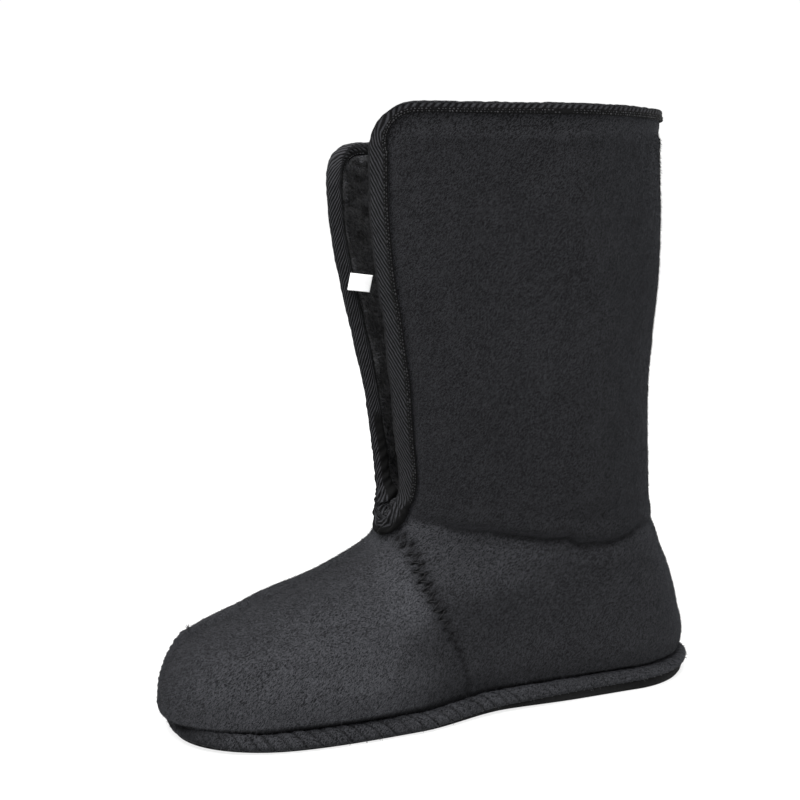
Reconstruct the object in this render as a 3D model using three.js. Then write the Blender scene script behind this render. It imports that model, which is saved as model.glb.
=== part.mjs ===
// The fleece liner of a winter boot: a soft inner boot with an open front, a taped edge
// and a sewn textile sole. Millimetres, +Z up, toe towards +X, the boot's left side towards +Y.
// The liner is worked out from the heel (x = 0) and the floor (z = 0), and the whole group is
// then moved so that the origin is at the bottom centre of its bounding box.
import * as THREE from 'three';

// Driving dimensions of the foot
const SOLE_LENGTH = 287;
const SOLE_OUTLINE = {
  heelHalf: 39.5, waistHalf: 42.5, ballHalf: 49.5, ballAt: 0.6, heelRound: 46, toeRound: 95,
  backPower: 2, frontPower: 2.5,
};
const FLANGE_WIDTH = 7;
const LIP_THICKNESS = 2.7;
const FLANGE_THICKNESS = 2.6;
const SOLE_THICKNESS = 6;
const WALL = 4.5;
const SEAM_GAP = 0.3;

// Sideways swing of the foot's centre line: out at the waist, and in towards the big toe
const CENTRE_LINE = [
  { x: 0, y: 0 },
  { x: 55, y: 0 },
  { x: 125, y: -1.8 },
  { x: 195, y: 0.6 },
  { x: 287, y: 4 },
];

// Height of the flange's underside along the foot, from heel to toe
const EDGE_HEIGHT = [
  { x: 0, z: 6.0 },
  { x: 70, z: 5.5 },
  { x: 130, z: 3.5 },
  { x: 180, z: 1.2 },
  { x: 240, z: 1.2 },
  { x: 287, z: 3.6 },
];

// Underside of the sole inside the flange: flat heel and ball, a low arch and a little toe spring
const SOLE_PROFILE = [
  { x: 0, z: 0 },
  { x: 80, z: 0 },
  { x: 120, z: 0.6 },
  { x: 165, z: 0 },
  { x: 235, z: 0 },
  { x: 287, z: 1.4 },
];

// Closed cross-sections of the upper, each in a plane that may tilt from back to front.
// level is the nominal height, the halves are half-widths, and the rounds are the lengths
// over which the outline closes at the back and at the front.
const SECTIONS = [
  { level: 12, backX: 3.5, backZ: 14, frontX: 292, frontZ: 12, heelHalf: 36, waistHalf: 37,
    ballHalf: 46.5, ballAt: 0.64, heelRound: 44, toeRound: 94, backPower: 2.1, frontPower: 2.3 },
  { level: 22, backX: 4.5, backZ: 24, frontX: 291, frontZ: 22, heelHalf: 37.5, waistHalf: 38,
    ballHalf: 47.5, ballAt: 0.64, heelRound: 44, toeRound: 94, backPower: 2.1, frontPower: 2.3 },
  { level: 40, backX: 7.5, backZ: 41, frontX: 283, frontZ: 41, heelHalf: 38, waistHalf: 38.5,
    ballHalf: 45.5, ballAt: 0.64, heelRound: 44, toeRound: 94, backPower: 2.1, frontPower: 2.3 },
  { level: 58, backX: 13, backZ: 59, frontX: 251, frontZ: 56, heelHalf: 38, waistHalf: 38,
    ballHalf: 38.5, ballAt: 0.66, heelRound: 44, toeRound: 84, backPower: 2.1, frontPower: 2.2 },
  { level: 74, backX: 20, backZ: 76, frontX: 210, frontZ: 69.5, heelHalf: 38, waistHalf: 37,
    ballHalf: 33, ballAt: 0.7, heelRound: 44, toeRound: 64, backPower: 2, frontPower: 2.2 },
  { level: 90, backX: 24, backZ: 93, frontX: 177, frontZ: 87, heelHalf: 38, waistHalf: 37.5,
    ballHalf: 31.5, ballAt: 0.74, heelRound: 48, toeRound: 42, backPower: 1.9, frontPower: 2.3 },
  { level: 108, backX: 24.5, backZ: 110, frontX: 171, frontZ: 106, heelHalf: 41.5, waistHalf: 41.5,
    ballHalf: 35, ballAt: 0.74, heelRound: 56, toeRound: 42, backPower: 1.8, frontPower: 2.5 },
  { level: 160, backX: 27, backZ: 160, frontX: 181, frontZ: 160, heelHalf: 47, waistHalf: 48,
    ballHalf: 42, ballAt: 0.72, heelRound: 66, toeRound: 48, backPower: 1.8, frontPower: 2.7 },
  { level: 230, backX: 23, backZ: 230, frontX: 193, frontZ: 230, heelHalf: 50, waistHalf: 51,
    ballHalf: 45, ballAt: 0.72, heelRound: 70, toeRound: 50, backPower: 1.8, frontPower: 2.8 },
  { level: 299, backX: 26, backZ: 299.5, frontX: 197, frontZ: 298.5, heelHalf: 51, waistHalf: 53,
    ballHalf: 47, ballAt: 0.72, heelRound: 72, toeRound: 50, backPower: 1.8, frontPower: 2.8 },
  { level: 320, backX: 27, backZ: 320.5, frontX: 198, frontZ: 319.5, heelHalf: 51, waistHalf: 53,
    ballHalf: 47, ballAt: 0.72, heelRound: 72, toeRound: 50, backPower: 1.8, frontPower: 2.8 },
];
const HEEL_AT = 0.16;
const WAIST_AT = 0.42;

// Front opening: half of the slit at each height, its round foot and the flaps' round corners
const THROAT_LEVEL = 98;
const THROAT_RADIUS = 8.5;
const COLLAR_LEVEL = 299;
const CORNER_RADIUS = 22;
const HALF_GAP = [
  { level: 106, gap: 8.5 },
  { level: 113, gap: 12.2 },
  { level: 124, gap: 15.2 },
  { level: 136, gap: 17.6 },
  { level: 152, gap: 21 },
  { level: 176, gap: 24.4 },
  { level: 208, gap: 27.4 },
  { level: 250, gap: 28 },
  { level: 299, gap: 31.2 },
  { level: 320, gap: 32.4 },
];

// How far the far flap slumps: its drop at the collar, and how far it leans forwards on the way
const FAR_FLAP_DROP = 16.5;
const FAR_FLAP_LEAN = [
  { level: 96, x: 4 },
  { level: 115, x: 3 },
  { level: 135, x: 1 },
  { level: 165, x: -2 },
  { level: 190, x: -2 },
  { level: 220, x: -0.8 },
  { level: 250, x: 1.6 },
  { level: 275, x: 2.6 },
  { level: 299, x: 2.2 },
];

// Twill tape folded over the edge, and the blank label
const TAPE_THICKNESS = 0.9;
const TAPE_GAP = 0.5;
const TAPE_WIDTH = {
  front: { outside: 11, inside: 4.6 },
  collar: { outside: 4.6, inside: 5 },
  throat: { outside: 6, inside: 4.5 },
};
const LABEL_WIDTH = 12;
const LABEL_HEIGHT = 9;
const LABEL_THICKNESS = 0.5;
const LABEL_LEVEL = 221;
const LABEL_SEAT = 2.6;
const LABEL_DIRECTION = new THREE.Vector3(-1, 0.16, -0.12).normalize();
const LABEL_UP = new THREE.Vector3(-0.16, 0, 1).normalize();

// Grid of the wall
const SIDE_COLUMNS = 26;
const CORNER_STEPS = 4;
const THROAT_STEPS = 3;
const FOOT_LEVELS = [12, 22, 31, 40, 49, 58, 66, 74, 82, 90];
const SHAFT_FRACTIONS = [0.04, 0.1, 0.19, 0.3, 0.41, 0.52, 0.63, 0.74, 0.85, 0.93, 1];
const OUTLINE_SAMPLES = 90;

const clamp = (value, low, high) => Math.min(high, Math.max(low, value));

// Smooth interpolation of one column of a table, which never swings past the rows' own values.
function lookUp(table, key, column, value) {
  const last = table.length - 2;
  let i = 0;
  while (i < last && value > table[i + 1][key]) i += 1;
  const secant = (k) => {
    const a = table[clamp(k, 0, last)];
    const b = table[clamp(k, 0, last) + 1];
    return (b[column] - a[column]) / (b[key] - a[key]);
  };
  const slope = (k) => {
    const before = secant(k - 1);
    const after = secant(k);
    return before * after > 0 ? (2 * before * after) / (before + after) : 0;
  };
  const span = table[i + 1][key] - table[i][key];
  const t = clamp((value - table[i][key]) / span, 0, 1);
  const fall = (1 + 2 * t) * (1 - t) ** 2;
  const rise = t * t * (3 - 2 * t);
  return table[i][column] * fall + table[i + 1][column] * rise
    + slope(i) * span * t * (1 - t) ** 2 - slope(i + 1) * span * t * t * (1 - t);
}

function ease(value) {
  const t = clamp(value, 0, 1);
  return t * t * (3 - 2 * t);
}

// Half-width of a closed outline at x: heel, waist and ball joined smoothly, round at both ends.
function halfWidth(section, x) {
  const t = (x - section.backX) / (section.frontX - section.backX);
  const toWaist = ease((t - HEEL_AT) / (WAIST_AT - HEEL_AT));
  const toBall = ease((t - WAIST_AT) / (section.ballAt - WAIST_AT));
  const heelToWaist = section.heelHalf + (section.waistHalf - section.heelHalf) * toWaist;
  const width = heelToWaist + (section.ballHalf - section.waistHalf) * toBall;
  const round = (distance, length, power) => {
    const open = 1 - clamp(distance / length, 0, 1);
    return Math.max(0, 1 - open ** power) ** (1 / power);
  };
  return width * round(x - section.backX, section.heelRound, section.backPower)
    * round(section.frontX - x, section.toeRound, section.frontPower);
}

// Half of a closed outline from the front centre round to the back, with its running length.
function traceOutline(section) {
  const points = [];
  let length = 0;
  for (let i = 0; i <= OUTLINE_SAMPLES; i += 1) {
    const turn = (1 + Math.cos((Math.PI * i) / OUTLINE_SAMPLES)) / 2;
    const x = section.backX + (section.frontX - section.backX) * turn;
    const y = halfWidth(section, x);
    if (i > 0) length += Math.hypot(x - points[i - 1].x, y - points[i - 1].y);
    points.push({ x, y, length });
  }
  return { section, points, length };
}

function pointOnOutline(outline, distance) {
  const { points } = outline;
  let i = 1;
  while (i < points.length - 1 && points[i].length < distance) i += 1;
  const a = points[i - 1];
  const b = points[i];
  const t = (distance - a.length) / (b.length - a.length);
  return { x: a.x + (b.x - a.x) * t, y: a.y + (b.y - a.y) * t };
}

const outlineCache = new Map();
function outlineAt(level) {
  const key = level.toFixed(3);
  if (!outlineCache.has(key)) {
    const section = {};
    for (const column of Object.keys(SECTIONS[0])) {
      section[column] = lookUp(SECTIONS, 'level', column, level);
    }
    outlineCache.set(key, traceOutline(section));
  }
  return outlineCache.get(key);
}

const soleOutline = traceOutline({ ...SOLE_OUTLINE, backX: 0, frontX: SOLE_LENGTH });

// The swing of the foot fades out over the ankle.
function centreLine(x, level) {
  return lookUp(CENTRE_LINE, 'x', 'y', x) * ease((THROAT_LEVEL - level) / 40 + 0.4);
}

const halfGap = (level) => lookUp(HALF_GAP, 'level', 'gap', level);
const edgeHeight = (x) => lookUp(EDGE_HEIGHT, 'x', 'z', x);

// Outer face of the upper. side is +1 on the left and -1 on the right, and around is the
// distance from the front centre. Past either centre line the surface runs on to the other side.
function outerPoint(side, around, level) {
  const outline = outlineAt(level);
  let distance = Math.abs(around);
  let hand = around < 0 ? -side : side;
  if (distance > outline.length) {
    distance = 2 * outline.length - distance;
    hand = -hand;
  }
  const { x, y } = pointOnOutline(outline, distance);
  const s = outline.section;
  const t = (x - s.backX) / (s.frontX - s.backX);
  const farFlap = hand > 0 ? 0 : ease((level - THROAT_LEVEL) / 20) * ease(t);
  const drop = FAR_FLAP_DROP * ease((level - THROAT_LEVEL) / (COLLAR_LEVEL - THROAT_LEVEL));
  const lean = lookUp(FAR_FLAP_LEAN, 'level', 'x', level);
  return new THREE.Vector3(
    x + lean * farFlap,
    hand * y + centreLine(x, level),
    s.backZ + (s.frontZ - s.backZ) * t - drop * farFlap,
  );
}

function outerNormal(side, around, level) {
  const step = 0.4;
  const across = outerPoint(side, around + step, level).sub(outerPoint(side, around - step, level));
  const up = outerPoint(side, around, level + step).sub(outerPoint(side, around, level - step));
  return across.cross(up).multiplyScalar(side).normalize();
}

// A point off the outer face; negative offsets lie inside the wall and the boot.
function offPoint(side, around, level, offset) {
  return outerPoint(side, around, level).addScaledVector(outerNormal(side, around, level), offset);
}

// Running length of the front centre line, level by level, to find heights above the slit's foot.
const frontLine = [];
for (let level = SECTIONS[0].level; level <= COLLAR_LEVEL; level += 1) {
  const point = outerPoint(1, 0, level);
  const before = frontLine[frontLine.length - 1];
  frontLine.push({ level, point, run: before ? before.run + point.distanceTo(before.point) : 0 });
}

function runAtLevel(level) {
  const i = clamp(Math.floor(level - SECTIONS[0].level), 0, frontLine.length - 2);
  const a = frontLine[i];
  return a.run + (level - a.level) * (frontLine[i + 1].run - a.run);
}

function levelAtHeight(height) {
  const run = runAtLevel(THROAT_LEVEL) + height;
  let i = 1;
  while (i < frontLine.length - 1 && frontLine[i].run < run) i += 1;
  const a = frontLine[i - 1];
  return a.level + (run - a.run) / (frontLine[i].run - a.run);
}

// Rows of the wall. Each tells its level near the slit, and where the slit's edge is.
const throatRows = Array.from({ length: THROAT_STEPS }, (_, i) => {
  const angle = ((i + 1) / THROAT_STEPS) * (Math.PI / 2);
  return {
    level: levelAtHeight(THROAT_RADIUS * (1 - Math.cos(angle))),
    gap: THROAT_RADIUS * Math.sin(angle),
    inward: [Math.sin(angle), -Math.cos(angle)],
  };
});
const slitStart = throatRows[THROAT_STEPS - 1].level;
const rows = [
  ...FOOT_LEVELS.map((level) => ({ level, gap: 0 })),
  { level: THROAT_LEVEL, gap: 0 },
  ...throatRows,
  ...SHAFT_FRACTIONS.map((fraction) => ({ fraction })),
];

// Columns from the slit's edge round to the back. The first ones follow the flap's round corner.
const columns = [];
for (let i = 0; i <= CORNER_STEPS; i += 1) {
  const angle = (i / CORNER_STEPS) * (Math.PI / 2);
  columns.push({
    fromEdge: CORNER_RADIUS * (1 - Math.cos(angle)),
    top: COLLAR_LEVEL - CORNER_RADIUS * (1 - Math.sin(angle)),
    inward: [Math.cos(angle), -Math.sin(angle)],
  });
}
for (let i = CORNER_STEPS + 1; i <= SIDE_COLUMNS; i += 1) {
  const share = (i - CORNER_STEPS) / (SIDE_COLUMNS - CORNER_STEPS);
  columns.push({ share, top: COLLAR_LEVEL, inward: [0, -1] });
}

// Distance of a column from the front centre, on an outline of the given half-length.
function columnDistance(column, length, gap, spread) {
  if (column.share === undefined) return gap + column.fromEdge * spread;
  const start = gap + CORNER_RADIUS * spread;
  return start + (length - start) * column.share;
}

// Where a row meets a column, as a distance round from the front and a level.
function wallAddress(row, column) {
  if (row.fraction === undefined) {
    const spread = 1 + 0.9 * ease((THROAT_LEVEL - row.level) / THROAT_LEVEL);
    return { level: row.level, around: columnDistance(column, outlineAt(row.level).length, row.gap, spread) };
  }
  const level = slitStart + (column.top - slitStart) * row.fraction;
  return { level, around: columnDistance(column, outlineAt(level).length, halfGap(level), 1) };
}

// A column's place on the sole's edge, moved in by an inset, at a height above the floor.
function edgePoint(side, column, inset, height) {
  const around = columnDistance(column, soleOutline.length, 0, 1.9);
  const here = pointOnOutline(soleOutline, around);
  const step = 0.5;
  const ahead = pointOnOutline(soleOutline, Math.min(around + step, soleOutline.length));
  const behind = pointOnOutline(soleOutline, Math.max(around - step, 0));
  const tangent = new THREE.Vector2(ahead.x - behind.x, ahead.y - behind.y);
  if (around < step || around > soleOutline.length - step) tangent.set(0, around < step ? 1 : -1);
  tangent.normalize();
  const x = here.x - tangent.y * inset;
  const y = here.y + tangent.x * inset;
  return new THREE.Vector3(x, side * Math.max(y, 0) + centreLine(x, 0), edgeHeight(here.x) + height);
}

// Indices of the ring: left side from the front to the back, then the right side to the front.
const ring = [];
for (let i = 0; i <= SIDE_COLUMNS; i += 1) ring.push({ side: 1, column: columns[i] });
for (let i = SIDE_COLUMNS - 1; i >= 0; i -= 1) ring.push({ side: -1, column: columns[i] });
const FRONT_RIGHT = ring.length - 1;

// A ring that is whole at the front ends on the very point that it started from.
function closed(points) {
  points[FRONT_RIGHT] = points[0];
  return points;
}

// Collects triangles; four corners are given anticlockwise as seen from outside.
class Shell {
  constructor() {
    this.positions = [];
  }

  triangle(a, b, c) {
    if (a.distanceTo(b) < 1e-6 || b.distanceTo(c) < 1e-6 || c.distanceTo(a) < 1e-6) return;
    for (const p of [a, b, c]) this.positions.push(p.x, p.y, p.z);
  }

  quad(a, b, c, d) {
    this.triangle(a, b, c);
    this.triangle(a, c, d);
  }

  // A quad of the ring at column i, with its diagonal mirrored between the two sides.
  patch(i, a, b, c, d) {
    if (i < SIDE_COLUMNS) this.quad(a, b, c, d);
    else this.quad(b, c, d, a);
  }

  geometry() {
    const geometry = new THREE.BufferGeometry();
    geometry.setAttribute('position', new THREE.Float32BufferAttribute(this.positions, 3));
    geometry.computeVertexNormals();
    return geometry;
  }
}

const edgeRing = (inset, height) => closed(
  ring.map(({ side, column }) => edgePoint(side, column, inset, height)),
);

function buildUpper() {
  const lipHeight = FLANGE_THICKNESS + SEAM_GAP;
  const outer = [
    edgeRing(0, lipHeight + LIP_THICKNESS * 0.8),
    edgeRing(FLANGE_WIDTH, lipHeight + LIP_THICKNESS),
  ];
  const inner = [edgeRing(0, lipHeight), edgeRing(FLANGE_WIDTH + WALL, lipHeight)];
  for (const row of rows) {
    const addresses = ring.map(({ side, column }) => ({ side, ...wallAddress(row, column) }));
    const finish = row.gap === 0 ? closed : (points) => points;
    outer.push(finish(addresses.map((at) => outerPoint(at.side, at.around, at.level))));
    inner.push(finish(addresses.map((at) => offPoint(at.side, at.around, at.level, -WALL))));
  }
  const shell = new Shell();
  const throatRow = outer.length - rows.length + FOOT_LEVELS.length;
  for (let j = 0; j < outer.length - 1; j += 1) {
    for (let i = 0; i < FRONT_RIGHT; i += 1) {
      shell.patch(i, outer[j][i], outer[j][i + 1], outer[j + 1][i + 1], outer[j + 1][i]);
      shell.patch(i, inner[j][i + 1], inner[j][i], inner[j + 1][i], inner[j + 1][i + 1]);
    }
    if (j >= throatRow) {
      const k = FRONT_RIGHT;
      shell.quad(inner[j][0], outer[j][0], outer[j + 1][0], inner[j + 1][0]);
      shell.quad(outer[j][k], inner[j][k], inner[j + 1][k], outer[j + 1][k]);
    }
  }
  const top = outer.length - 1;
  for (let i = 0; i < FRONT_RIGHT; i += 1) {
    shell.quad(outer[top][i], outer[top][i + 1], inner[top][i + 1], inner[top][i]);
    shell.quad(inner[0][i], inner[0][i + 1], outer[0][i + 1], outer[0][i]);
  }
  return shell.geometry();
}

// The sole: a flange round its edge, a dished pad inside it, and flat ladders across the middle.
function buildSole() {
  const floor = (x) => lookUp(SOLE_PROFILE, 'x', 'z', x);
  const padPoint = (side, column, inset, thickness) => {
    const point = edgePoint(side, column, inset, 0);
    point.z = floor(point.x) + thickness;
    return point;
  };
  const padAt = (inset, thickness) => closed(
    ring.map(({ side, column }) => padPoint(side, column, inset, thickness)),
  );
  const sideAt = (inset, share) => closed(ring.map(({ side, column }) => {
    const point = edgePoint(side, column, inset, 0);
    point.z = floor(point.x) + (point.z - floor(point.x)) * share;
    return point;
  }));
  const rings = [
    padAt(20, 0),
    padAt(2.4, 0),
    sideAt(1.2, 0.3),
    sideAt(1.2, 1),
    edgeRing(0.3, 0.4),
    edgeRing(0, FLANGE_THICKNESS / 2),
    edgeRing(0.4, FLANGE_THICKNESS),
    edgeRing(FLANGE_WIDTH + WALL + 0.6, FLANGE_THICKNESS),
    padAt(20, SOLE_THICKNESS),
  ];
  const shell = new Shell();
  for (let j = 0; j < rings.length - 1; j += 1) {
    for (let i = 0; i < FRONT_RIGHT; i += 1) {
      shell.patch(i, rings[j][i], rings[j][i + 1], rings[j + 1][i + 1], rings[j + 1][i]);
    }
  }
  const under = rings[0];
  const over = rings[rings.length - 1];
  for (let i = 0; i < SIDE_COLUMNS; i += 1) {
    const mirror = FRONT_RIGHT - i;
    shell.quad(under[i], under[mirror], under[mirror - 1], under[i + 1]);
    shell.quad(over[i], over[i + 1], over[mirror - 1], over[mirror]);
  }
  return shell.geometry();
}

// Edge of the wall as the tape meets it, from the foot of the slit up, round and down again.
function edgeStations() {
  const top = rows[rows.length - 1];
  const up = [];
  for (const row of rows.slice(FOOT_LEVELS.length + 1)) {
    if (row === top) break;
    up.push({ ...wallAddress(row, columns[0]), inward: row.inward ?? [1, 0] });
  }
  for (const column of columns) up.push({ ...wallAddress(top, column), inward: column.inward });
  const left = up.map((at) => ({ side: 1, ...at }));
  const right = up.slice(0, -1).reverse().map((at) => ({ side: -1, ...at }));
  return [{ side: 1, level: THROAT_LEVEL, around: 0, inward: [0, -1] }, ...left, ...right];
}

// Moves in from the edge by a distance, round the boot or down it.
function movedIn(at, distance) {
  const around = at.around + at.inward[0] * distance;
  const rise = at.inward[1] * distance;
  if (at.level > slitStart) return { around, level: at.level + rise };
  const height = runAtLevel(at.level) - runAtLevel(THROAT_LEVEL);
  return { around, level: levelAtHeight(height + rise) };
}

function tapePoint(at, [distance, offset]) {
  const moved = movedIn(at, distance);
  return offPoint(at.side, moved.around, moved.level, offset);
}

// Section of the folded tape, as distances in from the edge and offsets from the outer face.
function tapeSection(at) {
  const near = TAPE_GAP;
  const far = TAPE_GAP + TAPE_THICKNESS;
  const end = at.level < slitStart ? TAPE_WIDTH.throat : TAPE_WIDTH.collar;
  const share = -at.inward[1];
  const outside = TAPE_WIDTH.front.outside + (end.outside - TAPE_WIDTH.front.outside) * share;
  const inside = TAPE_WIDTH.front.inside + (end.inside - TAPE_WIDTH.front.inside) * share;
  return [
    [outside, near],
    [outside / 2, near],
    [-near, near],
    [-near, -WALL - near],
    [inside / 2, -WALL - near],
    [inside, -WALL - near],
    [inside, -WALL - far],
    [inside / 2, -WALL - far],
    [0, -WALL - far],
    [-far, -WALL],
    [-far, 0],
    [0, far],
    [outside / 2, far],
    [outside, far],
  ];
}

function buildBinding() {
  const stations = edgeStations().map((at) => tapeSection(at).map((corner) => tapePoint(at, corner)));
  const shell = new Shell();
  stations.forEach((here, i) => {
    const next = stations[(i + 1) % stations.length];
    for (let k = 0; k < here.length; k += 1) {
      const l = (k + 1) % here.length;
      shell.patch(i - 1, here[k], here[l], next[l], next[k]);
    }
  });
  return shell.geometry();
}

// A thin blank tab that lies against the fold of the tape on the far flap and runs on inwards.
function buildLabel() {
  const reach = TAPE_GAP + TAPE_THICKNESS + 3 * SEAM_GAP + LABEL_THICKNESS;
  const root = offPoint(-1, halfGap(LABEL_LEVEL) - reach, LABEL_LEVEL, -LABEL_SEAT);
  const depth = LABEL_UP.clone().cross(LABEL_DIRECTION).multiplyScalar(LABEL_THICKNESS);
  const corner = (along, height) => root.clone()
    .addScaledVector(LABEL_DIRECTION, along * LABEL_WIDTH)
    .addScaledVector(LABEL_UP, height * LABEL_HEIGHT);
  const back = [corner(0, 0), corner(1, 0), corner(1, 1), corner(0, 1)];
  const front = back.map((point) => point.clone().add(depth));
  const shell = new Shell();
  shell.quad(...front.slice().reverse());
  shell.quad(...back);
  for (let i = 0; i < 4; i += 1) {
    const k = (i + 1) % 4;
    shell.quad(back[k], back[i], front[i], front[k]);
  }
  return shell.geometry();
}

function piece(name, geometry, color, roughness) {
  const mesh = new THREE.Mesh(geometry, new THREE.MeshStandardMaterial({ color, roughness, metalness: 0 }));
  mesh.name = name;
  return mesh;
}

const liner = new THREE.Group();
liner.add(piece('upper', buildUpper(), '#2b2b2e', 0.95));
liner.add(piece('sole', buildSole(), '#252527', 0.95));
liner.add(piece('edge_binding', buildBinding(), '#202124', 0.8));
liner.add(piece('label', buildLabel(), '#f2f2f0', 0.7));

const bounds = new THREE.Box3().setFromObject(liner);
liner.position.set(-(bounds.min.x + bounds.max.x) / 2, -(bounds.min.y + bounds.max.y) / 2, -bounds.min.z);

export default liner;
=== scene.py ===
"""Looks of a soft fleece boot liner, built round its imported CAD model.

Shapes are worked out in millimetres from the back of the heel and the floor, with the toe
towards +X and the boot's left side towards +Y. A mesh is moved to the row's frame, in metres,
when it is made.
"""

import logging
import math
from dataclasses import dataclass
from enum import Enum
from typing import Any

import bpy
import numpy as np
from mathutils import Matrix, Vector


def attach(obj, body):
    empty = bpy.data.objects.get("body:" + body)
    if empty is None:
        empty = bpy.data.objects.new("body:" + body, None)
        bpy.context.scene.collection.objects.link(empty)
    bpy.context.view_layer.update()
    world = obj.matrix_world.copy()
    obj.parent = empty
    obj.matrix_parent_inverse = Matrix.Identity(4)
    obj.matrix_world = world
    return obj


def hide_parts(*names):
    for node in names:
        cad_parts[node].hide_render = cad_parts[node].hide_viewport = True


Array = np.ndarray
log = logging.getLogger("liner")
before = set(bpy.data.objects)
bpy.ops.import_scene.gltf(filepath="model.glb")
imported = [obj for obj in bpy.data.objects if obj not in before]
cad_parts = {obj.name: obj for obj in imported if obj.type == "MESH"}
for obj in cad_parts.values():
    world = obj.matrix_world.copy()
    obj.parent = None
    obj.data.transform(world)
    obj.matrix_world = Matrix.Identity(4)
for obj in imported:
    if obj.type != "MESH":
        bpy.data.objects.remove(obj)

MILLIMETRE = 0.001
ROW_ORIGIN = np.array([-0.146, 0.0, 0.0])


class Side(Enum):
    """The two halves of the boot."""

    LEFT = 1
    RIGHT = -1

    @property
    def word(self) -> str:
        """The side as it stands in the names of pieces."""
        return self.name.lower()


def ease(value: Array | float) -> Array:
    """Smooth step from 0 to 1."""
    t = np.clip(value, 0.0, 1.0)
    return t * t * (3 - 2 * t)


def hump(value: Array, width: float) -> Array:
    """Bell curve of height 1 about zero."""
    return np.exp(-((value / width) ** 2))


def unit(vectors: Array) -> Array:
    """Vectors scaled to length 1."""
    return vectors / np.maximum(np.linalg.norm(vectors, axis=-1, keepdims=True), 1e-9)


def running(points: Array) -> Array:
    """Length run along a line of points, from 0 at its first."""
    return np.concatenate([[0], np.cumsum(np.linalg.norm(np.diff(points, axis=0), axis=1))])


class Profile:
    """A smooth curve through a short table, which never swings past the table's own values."""

    def __init__(self, *pairs: tuple[float, float]) -> None:
        """Works out the slopes at the table's rows.

        Args:
            pairs: Key and value of each row, in rising order of the keys.
        """
        self.keys = np.array([pair[0] for pair in pairs], float)
        self.values = np.array([pair[1] for pair in pairs], float)
        secants = np.diff(self.values) / np.diff(self.keys)
        before = np.concatenate([secants[:1], secants])
        after = np.concatenate([secants, secants[-1:]])
        total = np.where(before + after == 0, 1.0, before + after)
        self.slopes = np.where(before * after > 0, 2 * before * after / total, 0.0)

    def __call__(self, at: Array | float) -> Array:
        """Value of the curve, held at its ends."""
        at = np.asarray(at, float)
        i = np.clip(np.searchsorted(self.keys, at) - 1, 0, len(self.keys) - 2)
        span = self.keys[i + 1] - self.keys[i]
        t = np.clip((at - self.keys[i]) / span, 0, 1)
        ends = self.values[i] * (1 + 2 * t) * (1 - t) ** 2 + self.values[i + 1] * t * t * (3 - 2 * t)
        return ends + span * t * (1 - t) * (self.slopes[i] * (1 - t) - self.slopes[i + 1] * t)


class Noise:
    """Smooth seeded noise from -1 to 1 on a repeating lattice."""

    SIZE = 32

    def __init__(self, seed: int) -> None:
        """Fills the lattice from the seed."""
        self.lattice = np.random.default_rng(seed).uniform(-1, 1, (self.SIZE,) * 3)

    def __call__(self, points: Array, size: float) -> Array:
        """Noise at points, for lumps of about the given size."""
        cell = points / size
        low = np.floor(cell).astype(int)
        t = ease(cell - low)
        total = np.zeros(points.shape[:-1])
        for corner in np.ndindex(2, 2, 2):
            weight = np.prod(np.where(np.array(corner) == 1, t, 1 - t), axis=-1)
            at = (low + np.array(corner)) % self.SIZE
            total += weight * self.lattice[at[..., 0], at[..., 1], at[..., 2]]
        return total


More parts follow.
